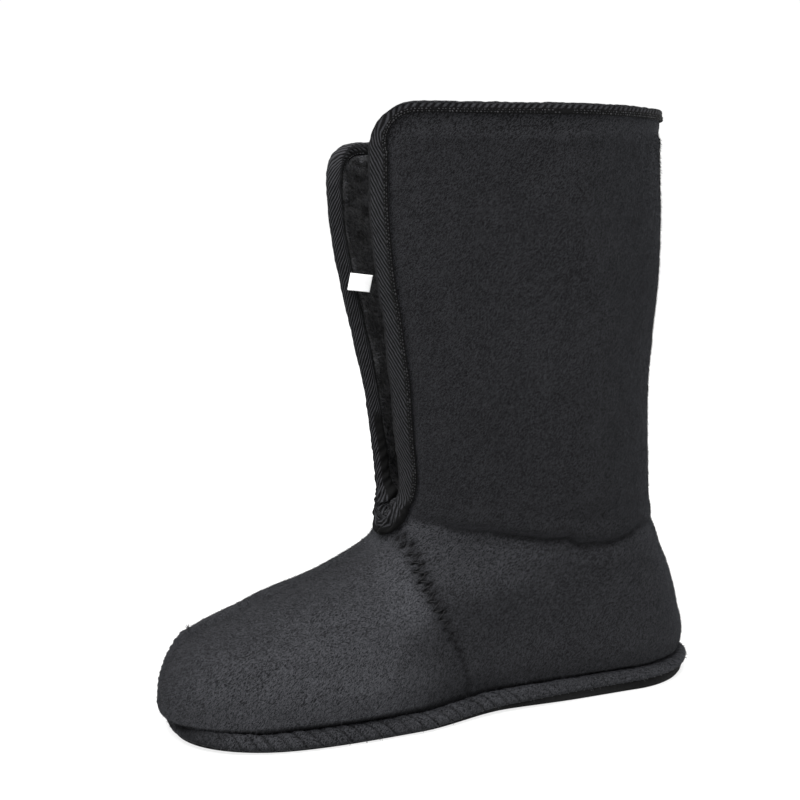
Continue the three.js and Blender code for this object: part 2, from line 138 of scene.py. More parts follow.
class LinerForm:
    """The boot's surface in millimetres, addressed by side, distance round from the front, and level."""

    SOLE_LENGTH = 287.0
    WALL = 4.5
    THROAT_LEVEL = 98.0
    THROAT_RADIUS = 8.5
    COLLAR_LEVEL = 299.0
    CORNER_RADIUS = 22.0
    FAR_FLAP_DROP = 16.5
    HEEL_AT, WAIST_AT = 0.16, 0.42
    STEP = 0.5
    LEVELS = (12, 22, 40, 58, 74, 90, 108, 160, 230, 299, 320)
    SECTIONS = {
        "back_x": (3.5, 4.5, 7.5, 13, 20, 24, 24.5, 27, 23, 26, 27),
        "back_z": (14, 24, 41, 59, 76, 93, 110, 160, 230, 299.5, 320.5),
        "front_x": (292, 291, 283, 251, 210, 177, 171, 181, 193, 197, 198),
        "front_z": (12, 22, 41, 56, 69.5, 87, 106, 160, 230, 298.5, 319.5),
        "heel": (36, 37.5, 38, 38, 38, 38, 41.5, 47, 50, 51, 51),
        "waist": (37, 38, 38.5, 38, 37, 37.5, 41.5, 48, 51, 53, 53),
        "ball": (46.5, 47.5, 45.5, 38.5, 33, 31.5, 35, 42, 45, 47, 47),
        "ball_at": (0.64, 0.64, 0.64, 0.66, 0.7, 0.74, 0.74, 0.72, 0.72, 0.72, 0.72),
        "heel_round": (44, 44, 44, 44, 44, 48, 56, 66, 70, 72, 72),
        "toe_round": (94, 94, 94, 84, 64, 42, 42, 48, 50, 50, 50),
        "back_power": (2.1, 2.1, 2.1, 2.1, 2, 1.9, 1.8, 1.8, 1.8, 1.8, 1.8),
        "front_power": (2.3, 2.3, 2.3, 2.2, 2.2, 2.3, 2.5, 2.7, 2.8, 2.8, 2.8),
    }
    SOLE = {
        "back_x": 0.0, "front_x": SOLE_LENGTH, "heel": 39.5, "waist": 42.5, "ball": 49.5,
        "ball_at": 0.6, "heel_round": 46.0, "toe_round": 95.0, "back_power": 2.0, "front_power": 2.5,
    }

    def __init__(self) -> None:
        """Traces every section once, finely enough to interpolate between."""
        self.centre = Profile((0, 0), (55, 0), (125, -1.8), (195, 0.6), (287, 4))
        self.edge_height = Profile((0, 6), (70, 5.5), (130, 3.5), (180, 1.2), (240, 1.2), (287, 3.6))
        self.floor = Profile((0, 0), (80, 0), (120, 0.6), (165, 0), (235, 0), (287, 1.4))
        self.half_gap = Profile(
            (106, 8.5), (113, 12.2), (124, 15.2), (136, 17.6), (152, 21), (176, 24.4), (208, 27.4), (250, 28),
            (299, 31.2), (320, 32.4)
        )
        self.drawn_in = Profile((140, 0), (175, 0.7), (200, 1.2), (225, 0.8), (250, 0.2), (280, 0.2))
        self.lean = Profile(
            (96, 4), (115, 3), (135, 1), (165, -2), (190, -2), (220, -0.8), (250, 1.6), (275, 2.6), (299, 2.2)
        )
        self.profiles = {name: Profile(*zip(self.LEVELS, row)) for name, row in self.SECTIONS.items()}
        self.levels = np.arange(8.0, 303.0, self.STEP)
        self.xs, self.ys, self.lengths = self._trace({n: p(self.levels) for n, p in self.profiles.items()})
        sole = self._trace({name: np.array([value]) for name, value in self.SOLE.items()})
        self.sole_x, self.sole_y, self.sole_length = sole[0][0], sole[1][0], float(sole[2][0])
        rising = np.arange(self.LEVELS[0], self.COLLAR_LEVEL + 1, 1.0)
        line = self.outer(1.0, np.zeros_like(rising), rising)
        self.front_levels, self.front_runs = rising, running(line)
        self.throat_run = np.interp(self.THROAT_LEVEL, self.front_levels, self.front_runs)
        self.slit_start = float(self.level_at_height(self.THROAT_RADIUS))

    def _trace(self, section: dict[str, Array], count: int = 400, kept: int = 601) -> tuple[Array, Array, Array]:
        """Half outlines from the front centre to the back, evenly spaced by running length.

        Args:
            section: Columns of the section table, one value for each outline.
            count: Samples traced along an outline.
            kept: Samples kept.

        Returns:
            The outlines' x, their y and their lengths.
        """
        column = {name: np.atleast_1d(values)[:, None] for name, values in section.items()}
        turn = (1 + np.cos(np.pi * np.arange(count + 1) / count)) / 2
        span = column["front_x"] - column["back_x"]
        x = column["back_x"] + span * turn
        t = (x - column["back_x"]) / span
        to_waist = ease((t - self.HEEL_AT) / (self.WAIST_AT - self.HEEL_AT))
        to_ball = ease((t - self.WAIST_AT) / (column["ball_at"] - self.WAIST_AT))
        width = column["heel"] + (column["waist"] - column["heel"]) * to_waist
        width = width + (column["ball"] - column["waist"]) * to_ball

        def rounding(distance: Array, length: Array, power: Array) -> Array:
            """How far the outline has opened at a distance from its end."""
            return np.maximum(0, 1 - (1 - np.clip(distance / length, 0, 1)) ** power) ** (1 / power)

        y = width * rounding(x - column["back_x"], column["heel_round"], column["back_power"])
        y = y * rounding(column["front_x"] - x, column["toe_round"], column["front_power"])
        steps = np.hypot(np.diff(x), np.diff(y))
        runs = np.concatenate([np.zeros((len(x), 1)), np.cumsum(steps, axis=1)], axis=1)
        shares = np.linspace(0, 1, kept)
        even_x, even_y = (
            np.stack([np.interp(shares * run[-1], run, row) for run, row in zip(runs, table)]) for table in (x, y)
        )
        return even_x, even_y, runs[:, -1]

    def swing(self, x: Array, level: Array | float) -> Array:
        """Sideways swing of the middle line, which dies out above the throat."""
        return self.centre(x) * ease((self.THROAT_LEVEL - level) / 40 + 0.4)

    def sole_around(self, around: Array) -> Array:
        """Distances round the foot of the wall, as distances round the sole's edge."""
        return around / self.length(self.LEVELS[0]) * self.sole_length

    def gap(self, side: float, level: Array | float) -> Array:
        """Half of the slit on one side; the near flap's edge is drawn in a little half way up."""
        return self.half_gap(level) + self.drawn_in(level) * max(side, 0.0)

    def length(self, level: Array | float) -> Array:
        """Half-length of the outline at a level."""
        return np.interp(level, self.levels, self.lengths)

    def outer(self, side: Array | float, around: Array | float, level: Array | float) -> Array:
        """Points of the outer face.

        Args:
            side: +1 on the left and -1 on the right.
            around: Distance round from the front centre, which may run past either centre line.
            level: Nominal height.

        Returns:
            The points in millimetres.
        """
        side, around, level = np.broadcast_arrays(*(np.asarray(v, float) for v in (side, around, level)))
        length = self.length(level)
        distance = np.abs(around)
        hand = np.where(around < 0, -side, side)
        past = distance > length
        distance = np.where(past, 2 * length - distance, distance)
        hand = np.where(past, -hand, hand)
        row = np.clip((level - self.levels[0]) / self.STEP, 0, len(self.levels) - 1.001)
        i = row.astype(int)
        column = np.clip(distance / length, 0, 1) * (self.xs.shape[1] - 1)
        j = np.minimum(column.astype(int), self.xs.shape[1] - 2)
        f, g = row - i, column - j

        def blend(table: Array) -> Array:
            """Bilinear reading of an outline table."""
            low = table[i, j] * (1 - f) + table[i + 1, j] * f
            return low * (1 - g) + (table[i, j + 1] * (1 - f) + table[i + 1, j + 1] * f) * g

        x, y = blend(self.xs), blend(self.ys)
        back_x, back_z, front_x, front_z = (
            self.profiles[name](level) for name in ("back_x", "back_z", "front_x", "front_z")
        )
        t = (x - back_x) / (front_x - back_x)
        far = np.where(hand > 0, 0, ease((level - self.THROAT_LEVEL) / 20) * ease(t))
        drop = self.FAR_FLAP_DROP * ease((level - self.THROAT_LEVEL) / (self.COLLAR_LEVEL - self.THROAT_LEVEL))
        z = back_z + (front_z - back_z) * t - drop * far
        return np.stack([x + self.lean(level) * far, hand * y + self.swing(x, level), z], -1)

    def normal(self, side: Array | float, around: Array, level: Array) -> Array:
        """Outward unit normals of the outer face."""
        step = 0.7
        across = self.outer(side, around + step, level) - self.outer(side, around - step, level)
        up = self.outer(side, around, level + step) - self.outer(side, around, level - step)
        return unit(np.cross(across, up) * np.asarray(side, float)[..., None])

    def off(self, side: Array | float, around: Array, level: Array, offset: Array | float) -> Array:
        """Points off the outer face; negative offsets lie inside the wall and the boot."""
        offset = np.asarray(offset, float)
        return self.outer(side, around, level) + self.normal(side, around, level) * offset[..., None]

    def level_at_height(self, height: Array | float) -> Array:
        """Level that lies a distance above the foot of the slit, along the front centre line."""
        return np.interp(self.throat_run + height, self.front_runs, self.front_levels)

    def moved_in(self, around: Array, level: Array, inward: Array, distance: Array) -> tuple[Array, Array]:
        """Address that lies a distance in from the taped edge, round the boot or down it."""
        rise = inward[..., 1] * distance
        low = np.interp(level, self.front_levels, self.front_runs) - self.throat_run
        curved = self.level_at_height(low + rise)
        return around + inward[..., 0] * distance, np.where(level > self.slit_start, level + rise, curved)

    def edge(self, side: float, around: Array, inset: Array | float, height: Array | float) -> Array:
        """Points by the sole's edge, moved in by an inset, at a height above the flange's underside."""
        around, inset, height = np.broadcast_arrays(*(np.asarray(v, float) for v in (around, inset, height)))
        shares = np.linspace(0, 1, len(self.sole_x)) * self.sole_length

        def at(distance: Array) -> tuple[Array, Array]:
            """Point of the sole's outline."""
            return np.interp(distance, shares, self.sole_x), np.interp(distance, shares, self.sole_y)

        x, y = at(around)
        ahead, behind = at(np.minimum(around + 0.5, self.sole_length)), at(np.maximum(around - 0.5, 0))
        tangent = np.stack([ahead[0] - behind[0], ahead[1] - behind[1]], -1)
        tangent = np.where((around < 0.5)[..., None], [0.0, 1.0], tangent)
        tangent = unit(np.where((around > self.sole_length - 0.5)[..., None], [0.0, -1.0], tangent))
        moved_x, moved_y = x - tangent[..., 1] * inset, y + tangent[..., 0] * inset
        y = side * np.maximum(moved_y, 0) + self.swing(moved_x, 0.0)
        return np.stack([moved_x, y, self.edge_height(x) + height], -1)


FORM = LinerForm()


class Value:
    """A socket that shader maths is written on."""

    def __init__(self, bench: "Bench", socket: Any) -> None:
        """Wraps a socket of the bench's tree."""
        self.bench, self.socket = bench, socket

    def _math(self, operation: str, first: Any, second: Any) -> "Value":
        """Math node of two operands."""
        return self.bench.value("ShaderNodeMath", {"operation": operation}, {0: first, 1: second})

    def __add__(self, other: Any) -> "Value":
        """Sum."""
        return self._math("ADD", self, other)

    __radd__ = __add__

    def __sub__(self, other: Any) -> "Value":
        """Difference."""
        return self._math("SUBTRACT", self, other)

    def __rsub__(self, other: Any) -> "Value":
        """Difference the other way round."""
        return self._math("SUBTRACT", other, self)

    def __mul__(self, other: Any) -> "Value":
        """Product."""
        return self._math("MULTIPLY", self, other)

    __rmul__ = __mul__


class Bench:
    """Adds nodes to one tree, of a material or of geometry."""

    def __init__(self, tree: bpy.types.NodeTree) -> None:
        """Takes the tree to work on."""
        self.tree = tree

    def node(self, kind: str, settings: dict[str, Any] | None = None, sockets: dict[Any, Any] | None = None) -> Any:
        """Makes a node.

        Args:
            kind: Blender's node type.
            settings: Properties, set first. A ramp's are given as "stops".
            sockets: Values or links of the inputs, by name or by place.

        Returns:
            The node.
        """
        made = self.tree.nodes.new(kind)
        for name, setting in (settings or {}).items():
            if name == "stops":
                ramp = made.color_ramp
                while len(ramp.elements) < len(setting):
                    ramp.elements.new(0.5)
                for element, (place, shade) in zip(ramp.elements, setting):
                    element.position, element.color = place, shade
            else:
                setattr(made, name, setting)
        for key, value in (sockets or {}).items():
            socket = made.inputs[key]
            if isinstance(value, Value):
                self.tree.links.new(value.socket, socket)
            elif isinstance(value, bpy.types.NodeSocket):
                self.tree.links.new(value, socket)
            else:
                socket.default_value = value
        return made

    def value(self, kind: str, settings: dict[str, Any] | None = None, sockets: dict[Any, Any] | None = None,
              output: Any = 0) -> Value:
        """Makes a node and gives one of its outputs, by name or by place."""
        return Value(self, self.node(kind, settings, sockets).outputs[output])


class Shader(Bench):
    """A bench for a material, with the maps that the finishes share."""

    def __init__(self, name: str) -> None:
        """Starts an empty material."""
        self.material = bpy.data.materials.new(name)
        self.material.use_nodes = True
        self.material.node_tree.nodes.clear()
        super().__init__(self.material.node_tree)
        self.place = self.value("ShaderNodeTexCoord", output="Object")

    def noise(self, size: float, detail: float = 2.0, roughness: float = 0.5, at: Value | None = None) -> Value:
        """Noise from 0 to 1 with lumps of a size in millimetres."""
        sockets = {"Vector": at or self.place, "Scale": 1 / (size * MILLIMETRE), "Detail": detail,
                   "Roughness": roughness}
        return self.value("ShaderNodeTexNoise", None, sockets, "Fac")

    def turned(self, angles: tuple[float, float, float], scale: tuple[float, float, float]) -> Value:
        """Object coordinates seen along turned axes and stretched along them, for a pattern with a direction."""
        turn = tuple(math.radians(a) for a in angles)
        return self.value("ShaderNodeMapping", {"vector_type": "TEXTURE"},
                          {"Vector": self.place, "Rotation": turn, "Scale": scale})

    def attribute(self, name: str) -> Value:
        """A number stored on the mesh."""
        return self.value("ShaderNodeAttribute", {"attribute_name": name}, None, "Fac")

    def band(self, value: Value, low: float, high: float) -> Value:
        """Smooth step of a value between two bounds."""
        sockets = {"Value": value, "From Min": low, "From Max": high}
        return self.value("ShaderNodeMapRange", {"interpolation_type": "SMOOTHSTEP"}, sockets)

    def mix(self, share: Any, first: Any, second: Any) -> Value:
        """Colour between two colours."""
        sockets = {0: share, 6: first, 7: second}
        return self.value("ShaderNodeMix", {"data_type": "RGBA"}, sockets, 2)

    def bump(self, height: Value, distance: float, strength: float = 1.0, below: Value | None = None) -> Value:
        """Normal from a height map, with a depth in millimetres, on top of another one."""
        sockets = {"Height": height, "Distance": distance * MILLIMETRE, "Strength": strength}
        if below is not None:
            sockets["Normal"] = below
        return self.value("ShaderNodeBump", None, sockets)

    def finish(self, **sockets: Any) -> bpy.types.Material:
        """Closes the material with a principled surface; underscores stand for spaces in its sockets' names."""
        named = {name.replace("_", " "): value for name, value in sockets.items()}
        surface = self.node("ShaderNodeBsdfPrincipled", None, named)
        self.node("ShaderNodeOutputMaterial", None, {"Surface": surface.outputs[0]})
        return self.material


def grey(level: float, blue: float = 1.0) -> tuple[float, float, float, float]:
    """A near-black of the given linear level, a little bluer than it is red."""
    return (level, level * (1 + 0.02 * blue), level * (1 + 0.13 * blue), 1.0)


LEAST_PALE, MOST_PALE = 0.5, 2.3


def paleness(share: Array) -> Array:
    """Number from 0 to 1 that the finishes read for a cloth painted so many times as light as the plain one; the map
    holds both the cloth's own tone and painted light.
    """
    return np.clip((share - LEAST_PALE) / (MOST_PALE - LEAST_PALE), 0, 1)


@dataclass(frozen=True)
class FleeceFinish:
    """Brushed fleece with a short nap: fine streaks, soft mottling and lighter fibre tips."""

    name: str = "brushed_fleece"
    dark: float = 0.0026
    light: float = 0.025
    sheen: float = 0.05

    def material(self) -> bpy.types.Material:
        """Builds the material."""
        shader = Shader(self.name)
        along = shader.turned((0, 42, 0), (2.8, 1.2, 1.0))
        streaks = shader.noise(0.5, 1, 0.6, along)
        strands = shader.noise(1.9, 2, 0.5, along)
        grain = shader.noise(0.48, 1, 0.65)
        mottle = shader.noise(15, 3, 0.55)
        tone = shader.band(streaks * 0.5 + grain * 0.36 + strands * 0.08 + mottle * 0.08, 0.42, 0.6)
        # A plain copy and a lighter copy of the fleece, blended by a map that holds the panels' own tone together
        # with painted light and painted shade.
        plain = shader.mix(tone, grey(self.dark * LEAST_PALE), grey(self.light * LEAST_PALE))
        bright = shader.mix(tone, grey(self.dark * MOST_PALE), grey(self.light * MOST_PALE))
        base = shader.mix(shader.attribute("pale"), plain, bright)
        # Painted shade: this mix darkens the fleece towards near-black in the ankle fold, the seam dimples, the
        # roll's pinches and the tucked lip, where shade falls.
        colour = shader.mix(shader.attribute("worn_dark"), base, grey(0.0022, 0.4))
        soft = shader.bump(mottle, 1.2, 0.4)
        nap = shader.bump(strands, 0.7, 0.6, soft)
        normal = shader.bump(streaks + grain, 0.4, 0.9, nap)
        return shader.finish(
            Base_Color=colour, Roughness=0.95, Normal=normal, Sheen_Weight=self.sheen, Sheen_Roughness=0.5,
            Sheen_Tint=(0.72, 0.76, 0.9, 1.0), Specular_IOR_Level=0.1,
        )


@dataclass(frozen=True)
class PileFinish:
    """Deep plush of the inside: matted tufts, darker between them."""

    name: str = "lining_pile"
    dark: float = 0.003
    light: float = 0.024

    def material(self) -> bpy.types.Material:
        """Builds the material."""
        shader = Shader(self.name)
        tufts = shader.noise(4.6, 4, 0.62)
        curls = shader.noise(1.2, 3, 0.6)
        tone = shader.band(tufts * 0.55 + curls * 0.45, 0.36, 0.64)
        plain = shader.mix(tone, grey(self.dark, 0.2), grey(self.light, 0.5))
        bright = shader.mix(tone, grey(self.dark * 2, 0.2), grey(self.light * 2.2, 0.5))
        colour = shader.mix(shader.attribute("pale") * 2.6, plain, bright)
        normal = shader.bump(curls, 0.9, 0.8, shader.bump(tufts, 2.6, 0.8))
        return shader.finish(
            Base_Color=colour, Roughness=0.96, Normal=normal, Sheen_Weight=0.06, Sheen_Roughness=0.5,
            Specular_IOR_Level=0.1,
        )


@dataclass(frozen=True)
class FibreFinish:
    """Loose fibres of the nap and of frayed edges."""

    name: str = "fibres"
    level: float = 0.016

    def material(self) -> bpy.types.Material:
        """Builds the material."""
        shader = Shader(self.name)
        share = LEAST_PALE / MOST_PALE
        # The fibres take the painted light and painted shade of the cloth beneath them, together with its own tone.
        tone = (shader.attribute("tone") * 0.84 + 0.14) * (shader.attribute("pale") * (1 - share) + share)
        fresh = shader.mix(tone, grey(0.0005), grey(self.level * 2.1 * MOST_PALE))
        colour = shader.mix(shader.attribute("worn_dark"), fresh, grey(0.0025, 0.4))
        return shader.finish(Base_Color=colour, Roughness=0.9, Specular_IOR_Level=0.1)


@dataclass(frozen=True)
class TwillFinish:
    """Twill tape: slanting ribs of fine thread that are dark between, and a plain selvedge."""

    name: str = "twill_tape"
    dark: float = 0.0012
    light: float = 0.03

    def material(self) -> bpy.types.Material:
        """Builds the material."""
        shader = Shader(self.name)
        weave = shader.value("ShaderNodeUVMap", {"uv_map": "UVMap"})
        count = shader.value("ShaderNodeSeparateXYZ", None, {"Vector": weave})
        wander = shader.noise(5, 1) * 0.5
        triangle = shader.value("ShaderNodeMath", {"operation": "PINGPONG"}, {0: count + wander, 1: 0.5})
        plain = shader.attribute("selvedge")
        rib = shader.band(triangle, 0.06, 0.42) * (1.0 - plain)
        thread = shader.noise(0.5, 1, 0.6)
        floats = shader.noise(1.6, 2, 0.6)
        tone = shader.band(rib * 0.52 + thread * 0.5 + floats * 0.26 - plain * 0.02, 0.42, 1.05)
        colour = shader.mix(tone, grey(self.dark), grey(self.light))
        normal = shader.bump(thread, 0.25, 0.6, shader.bump(rib, 0.45, 0.9))
        return shader.finish(Base_Color=colour, Roughness=0.85, Normal=normal, Specular_IOR_Level=0.12)


@dataclass(frozen=True)
class ThreadFinish:
    """Spun sewing thread or yarn."""

    name: str = "thread"
    level: float = 0.03
    roughness: float = 0.6

    def material(self) -> bpy.types.Material:
        """Builds the material."""
        shader = Shader(self.name)
        twist = shader.noise(0.5, 2, 0.6)
        colour = shader.mix(shader.band(twist, 0.3, 0.7), grey(self.level * 0.5), grey(self.level * 1.4))
        return shader.finish(Base_Color=colour, Roughness=self.roughness, Normal=shader.bump(twist, 0.15, 0.6),
                             Specular_IOR_Level=0.3)


@dataclass(frozen=True)
class FeltFinish:
    """Dense felted textile of the sole."""

    name: str = "sole_felt"
    dark: float = 0.004
    light: float = 0.011

    def material(self) -> bpy.types.Material:
        """Builds the material."""
        shader = Shader(self.name)
        mat = shader.noise(1.4, 4, 0.65)
        scuff = shader.noise(26, 3, 0.6)
        tone = shader.band(mat * 0.6 + scuff * 0.5, 0.36, 0.76)
        felt = shader.mix(tone, grey(self.dark, 0.3), grey(self.light, 0.4))
        # Painted shade: darker where the sole tucks in under the flange.
        pinched = shader.mix(shader.attribute("worn_dark"), felt, grey(0.003, 0.4))
        normal = shader.bump(mat, 0.6, 0.7)
        return shader.finish(Base_Color=pinched, Roughness=0.95, Normal=normal, Specular_IOR_Level=0.1)


@dataclass(frozen=True)
class LabelFinish:
    """White woven tab with a fine satin rib."""

    name: str = "white_tab"

    def material(self) -> bpy.types.Material:
        """Builds the material."""
        shader = Shader(self.name)
        weft = shader.noise(0.5, 2, 0.6, shader.turned((0, 0, 0), (0.3, 0.3, 2.2)))
        colour = shader.mix(weft, (0.86, 0.86, 0.86, 1), (0.97, 0.97, 0.97, 1))
        return shader.finish(Base_Color=colour, Roughness=0.6, Normal=shader.bump(weft, 0.12, 0.5))


@dataclass(frozen=True)
class FloorFinish:
    """Plain white studio floor."""

    name: str = "studio_floor"

    def material(self) -> bpy.types.Material:
        """Builds the material."""
        shader = Shader(self.name)
        return shader.finish(Base_Color=(0.3, 0.3, 0.3, 1), Roughness=0.9, Specular_IOR_Level=0.0,
                             Emission_Color=(1, 1, 1, 1), Emission_Strength=0.76)


NO_FACES = np.empty((0, 4), int)


def placed(name: str, data: Any) -> bpy.types.Object:
    """A new object in the scene."""
    made = bpy.data.objects.new(name, data)
    bpy.context.scene.collection.objects.link(made)
    return made


@dataclass
class MeshKit:
    """Collects points and faces of one piece, with the numbers that its material reads."""

    name: str

    def __post_init__(self) -> None:
        """Starts empty."""
        self.points: list[Array] = []
        self.faces: list[Array] = []
        self.numbers: dict[str, list[Array]] = {}
        self.count = 0

    def add(self, points: Array, faces: Array, **numbers: Array) -> int:
        """Adds a batch of points with faces that count from its first point, and gives that point's place."""
        start = self.count
        self.points.append(points.reshape(-1, 3))
        if len(faces):
            self.faces.append(faces + start)
        for name, values in numbers.items():
            self.numbers.setdefault(name, []).append(values.reshape(len(self.points[-1]), -1))
        self.count += len(self.points[-1])
        return start

    def join(self, faces: Array) -> None:
        """Adds faces between points that are there already."""
        self.faces.append(faces)

    def object(self, material: bpy.types.Material | None = None) -> bpy.types.Object:
        """Makes the Blender object, at the origin with its place in its mesh."""
        points = np.concatenate(self.points) * MILLIMETRE + ROW_ORIGIN
        mesh = bpy.data.meshes.new(self.name)
        faces = [row for batch in self.faces for row in batch.tolist()]
        mesh.from_pydata(points.tolist(), [], faces)
        for name, batches in self.numbers.items():
            values = np.concatenate(batches)
            if name == "uv":
                corners = np.empty(len(mesh.loops), np.int32)
                mesh.loops.foreach_get("vertex_index", corners)
                mesh.uv_layers.new(name="UVMap").data.foreach_set("uv", values[corners].ravel())
            else:
                kind, field = ("FLOAT_VECTOR", "vector") if values.shape[1] == 3 else ("FLOAT", "value")
                mesh.attributes.new(name, kind, "POINT").data.foreach_set(field, values.ravel())
        mesh.polygons.foreach_set("use_smooth", np.ones(len(mesh.polygons), bool))
        mesh.update()
        piece = placed(self.name, mesh)
        if material is not None:
            mesh.materials.append(material)
        return piece


def grid_faces(rows: int, columns: int, flip: bool = False) -> Array:
    """Quads of a grid whose points are given row by row."""
    i, j = np.meshgrid(np.arange(rows - 1), np.arange(columns - 1), indexing="ij")
    low = (i * columns + j).ravel()
    quads = np.stack([low, low + 1, low + columns + 1, low + columns], -1)
    return quads[:, ::-1] if flip else quads


def tube_faces(rows: int, columns: int, flip: bool = False) -> Array:
    """Quads of a grid that closes on itself both ways."""
    i, j = np.meshgrid(np.arange(rows), np.arange(columns), indexing="ij")
    di, dj = (i + 1) % rows, (j + 1) % columns
    quads = np.stack([i * columns + j, i * columns + dj, di * columns + dj, di * columns + j], -1).reshape(-1, 4)
    return quads[:, ::-1] if flip else quads


class Tree(Bench):
    """A Geometry Nodes tree with named inputs."""

    def __init__(self, name: str, inputs: dict[str, tuple[str, Any]]) -> None:
        """Starts the tree.

        Args:
            name: Name of the tree.
            inputs: Socket type and default of each input beside the geometry.
        """
        super().__init__(bpy.data.node_groups.new(name, "GeometryNodeTree"))
        face = self.tree.interface
        face.new_socket("Geometry", in_out="INPUT", socket_type="NodeSocketGeometry")
        self.identifiers = {}
        for label, (kind, default) in inputs.items():
            socket = face.new_socket(label, in_out="INPUT", socket_type=kind)
            if default is not None:
                socket.default_value = default
            self.identifiers[label] = socket.identifier
        face.new_socket("Geometry", in_out="OUTPUT", socket_type="NodeSocketGeometry")
        self.inlet = self.tree.nodes.new("NodeGroupInput")

    def given(self, label: str) -> Any:
        """Socket of a named input."""
        return self.inlet.outputs[label]

    def named(self, label: str, kind: str = "FLOAT") -> Any:
        """Numbers stored on the mesh."""
        node = self.node("GeometryNodeInputNamedAttribute", {"data_type": kind}, {"Name": label})
        return node.outputs["Attribute"]

    def vector(self, operation: str, first: Any, second: Any) -> Any:
        """Sum of two vectors, or a vector scaled by a number."""
        place = "Scale" if operation == "SCALE" else 1
        return self.node("ShaderNodeVectorMath", {"operation": operation}, {0: first, place: second}).outputs[0]

    def product(self, first: Any, second: Any) -> Any:
        """Product of two numbers."""
        return self.node("ShaderNodeMath", {"operation": "MULTIPLY"}, {0: first, 1: second}).outputs[0]

    def close(self, geometry: Any) -> None:
        """Ends the tree in realized instances with the input's material."""
        whole = self.node("GeometryNodeRealizeInstances", None, {"Geometry": geometry})
        dressed = self.node("GeometryNodeSetMaterial", None,
                            {"Geometry": whole.outputs[0], "Material": self.given("Material")})
        self.node("NodeGroupOutput", None, {0: dressed.outputs[0]})

    def run(self, base: bpy.types.Object, name: str, material: bpy.types.Material, **values: Any) -> bpy.types.Object:
        """Runs the tree on an object and keeps the result as a plain mesh.

        Args:
            base: Object that the tree starts from. It is left as it was.
            name: Name of the new piece.
            material: Finish of the new piece.
            values: Inputs by label, with underscores for spaces.

        Returns:
            The new piece.
        """
        modifier = base.modifiers.new(name, "NODES")
        modifier.node_group = self.tree
        modifier[self.identifiers["Material"]] = material
        for label, value in values.items():
            modifier[self.identifiers[label.replace("_", " ")]] = value
        graph = bpy.context.evaluated_depsgraph_get()
        mesh = bpy.data.meshes.new_from_object(base.evaluated_get(graph), depsgraph=graph)
        base.modifiers.remove(modifier)
        mesh.name = name
        if not any(kept == material for kept in mesh.materials):
            mesh.materials.clear()
            mesh.materials.append(material)
        return placed(name, mesh)


class FibreTree(Tree):
    """Scatters leaning fibres over a mesh, by its stored "nap" and "comb"."""

    def __init__(self) -> None:
        """Builds the tree."""
        super().__init__("scattered_fibres", {
            "Density": ("NodeSocketFloat", 100000.0), "Length": ("NodeSocketFloat", 0.0018),
            "Width": ("NodeSocketFloat", 0.00012), "Lift": ("NodeSocketFloat", 0.35),
            "Stray": ("NodeSocketFloat", 0.5), "Seed": ("NodeSocketInt", 1),
            "Material": ("NodeSocketMaterial", None),
        })
        density = self.product(self.given("Density"), self.named("nap"))
        points = self.node("GeometryNodeDistributePointsOnFaces", {"distribute_method": "RANDOM"}, {
            "Mesh": self.given("Geometry"), "Density": density, "Seed": self.given("Seed")})
        stray = self.node("FunctionNodeRandomValue", {"data_type": "FLOAT_VECTOR"},
                          {0: (-1, -1, -1), 1: (1, 1, 1), "Seed": self.given("Seed")})
        wild = self.vector("SCALE", stray.outputs[0], self.given("Stray"))
        raised = self.vector("SCALE", points.outputs["Normal"], self.given("Lift"))
        combed = self.vector("ADD", self.named("comb", "FLOAT_VECTOR"), raised)
        way = self.vector("ADD", combed, wild)
        turn = self.node("FunctionNodeAxesToRotation", {"primary_axis": "X", "secondary_axis": "Z"},
                         {0: way, 1: points.outputs["Normal"]})
        blade = self.node("GeometryNodeMeshCircle", {"fill_type": "NGON"}, {"Vertices": 3, "Radius": 1.0})
        rooted = self.node("GeometryNodeTransform", None,
                           {"Geometry": blade.outputs[0], "Translation": (0.333, 0, 0), "Scale": (0.667, 0.577, 1)})
        spread = self.node("FunctionNodeRandomValue", {"data_type": "FLOAT"}, {2: 0.5, 3: 1.3, "Seed": 7})
        long = self.product(self.given("Length"), spread.outputs[1])
        size = self.node("ShaderNodeCombineXYZ", None, {0: long, 1: self.given("Width"), 2: 1.0})
        grown = self.node("GeometryNodeInstanceOnPoints", None, {
            "Points": points.outputs["Points"], "Instance": rooted.outputs[0], "Rotation": turn.outputs[0],
            "Scale": size.outputs[0]})
        shade = self.node("FunctionNodeRandomValue", {"data_type": "FLOAT"}, {2: 0.0, 3: 1.0, "Seed": 11})
        toned = self.node("GeometryNodeStoreNamedAttribute", {"data_type": "FLOAT", "domain": "INSTANCE"},
                          {"Geometry": grown.outputs[0], "Name": "tone", "Value": shade.outputs[1]})
        self.close(toned.outputs[0])


class StitchTree(Tree):
    """Sets a small bead on every point, by its stored "along", "face" and "grow"."""

    def __init__(self) -> None:
        """Builds the tree."""
        super().__init__("set_stitches", {
            "Length": ("NodeSocketFloat", 0.0015), "Width": ("NodeSocketFloat", 0.0005),
            "Height": ("NodeSocketFloat", 0.0004), "Material": ("NodeSocketMaterial", None),
        })
        points = self.node("GeometryNodeMeshToPoints", None, {"Mesh": self.given("Geometry")})
        bead = self.node("GeometryNodeMeshIcoSphere", None, {"Radius": 0.5, "Subdivisions": 1})
        smooth = self.node("GeometryNodeSetShadeSmooth", None, {"Geometry": bead.outputs[0]})
        turn = self.node("FunctionNodeAxesToRotation", {"primary_axis": "X", "secondary_axis": "Z"},
                         {0: self.named("along", "FLOAT_VECTOR"), 1: self.named("face", "FLOAT_VECTOR")})
        size = self.node("ShaderNodeCombineXYZ", None,
                         {0: self.given("Length"), 1: self.given("Width"), 2: self.given("Height")})
        scaled = self.vector("SCALE", size.outputs[0], self.named("grow"))
        placed = self.node("GeometryNodeInstanceOnPoints", None, {
            "Points": points.outputs[0], "Instance": smooth.outputs[0], "Rotation": turn.outputs[0],
            "Scale": scaled})
        self.close(placed.outputs[0])


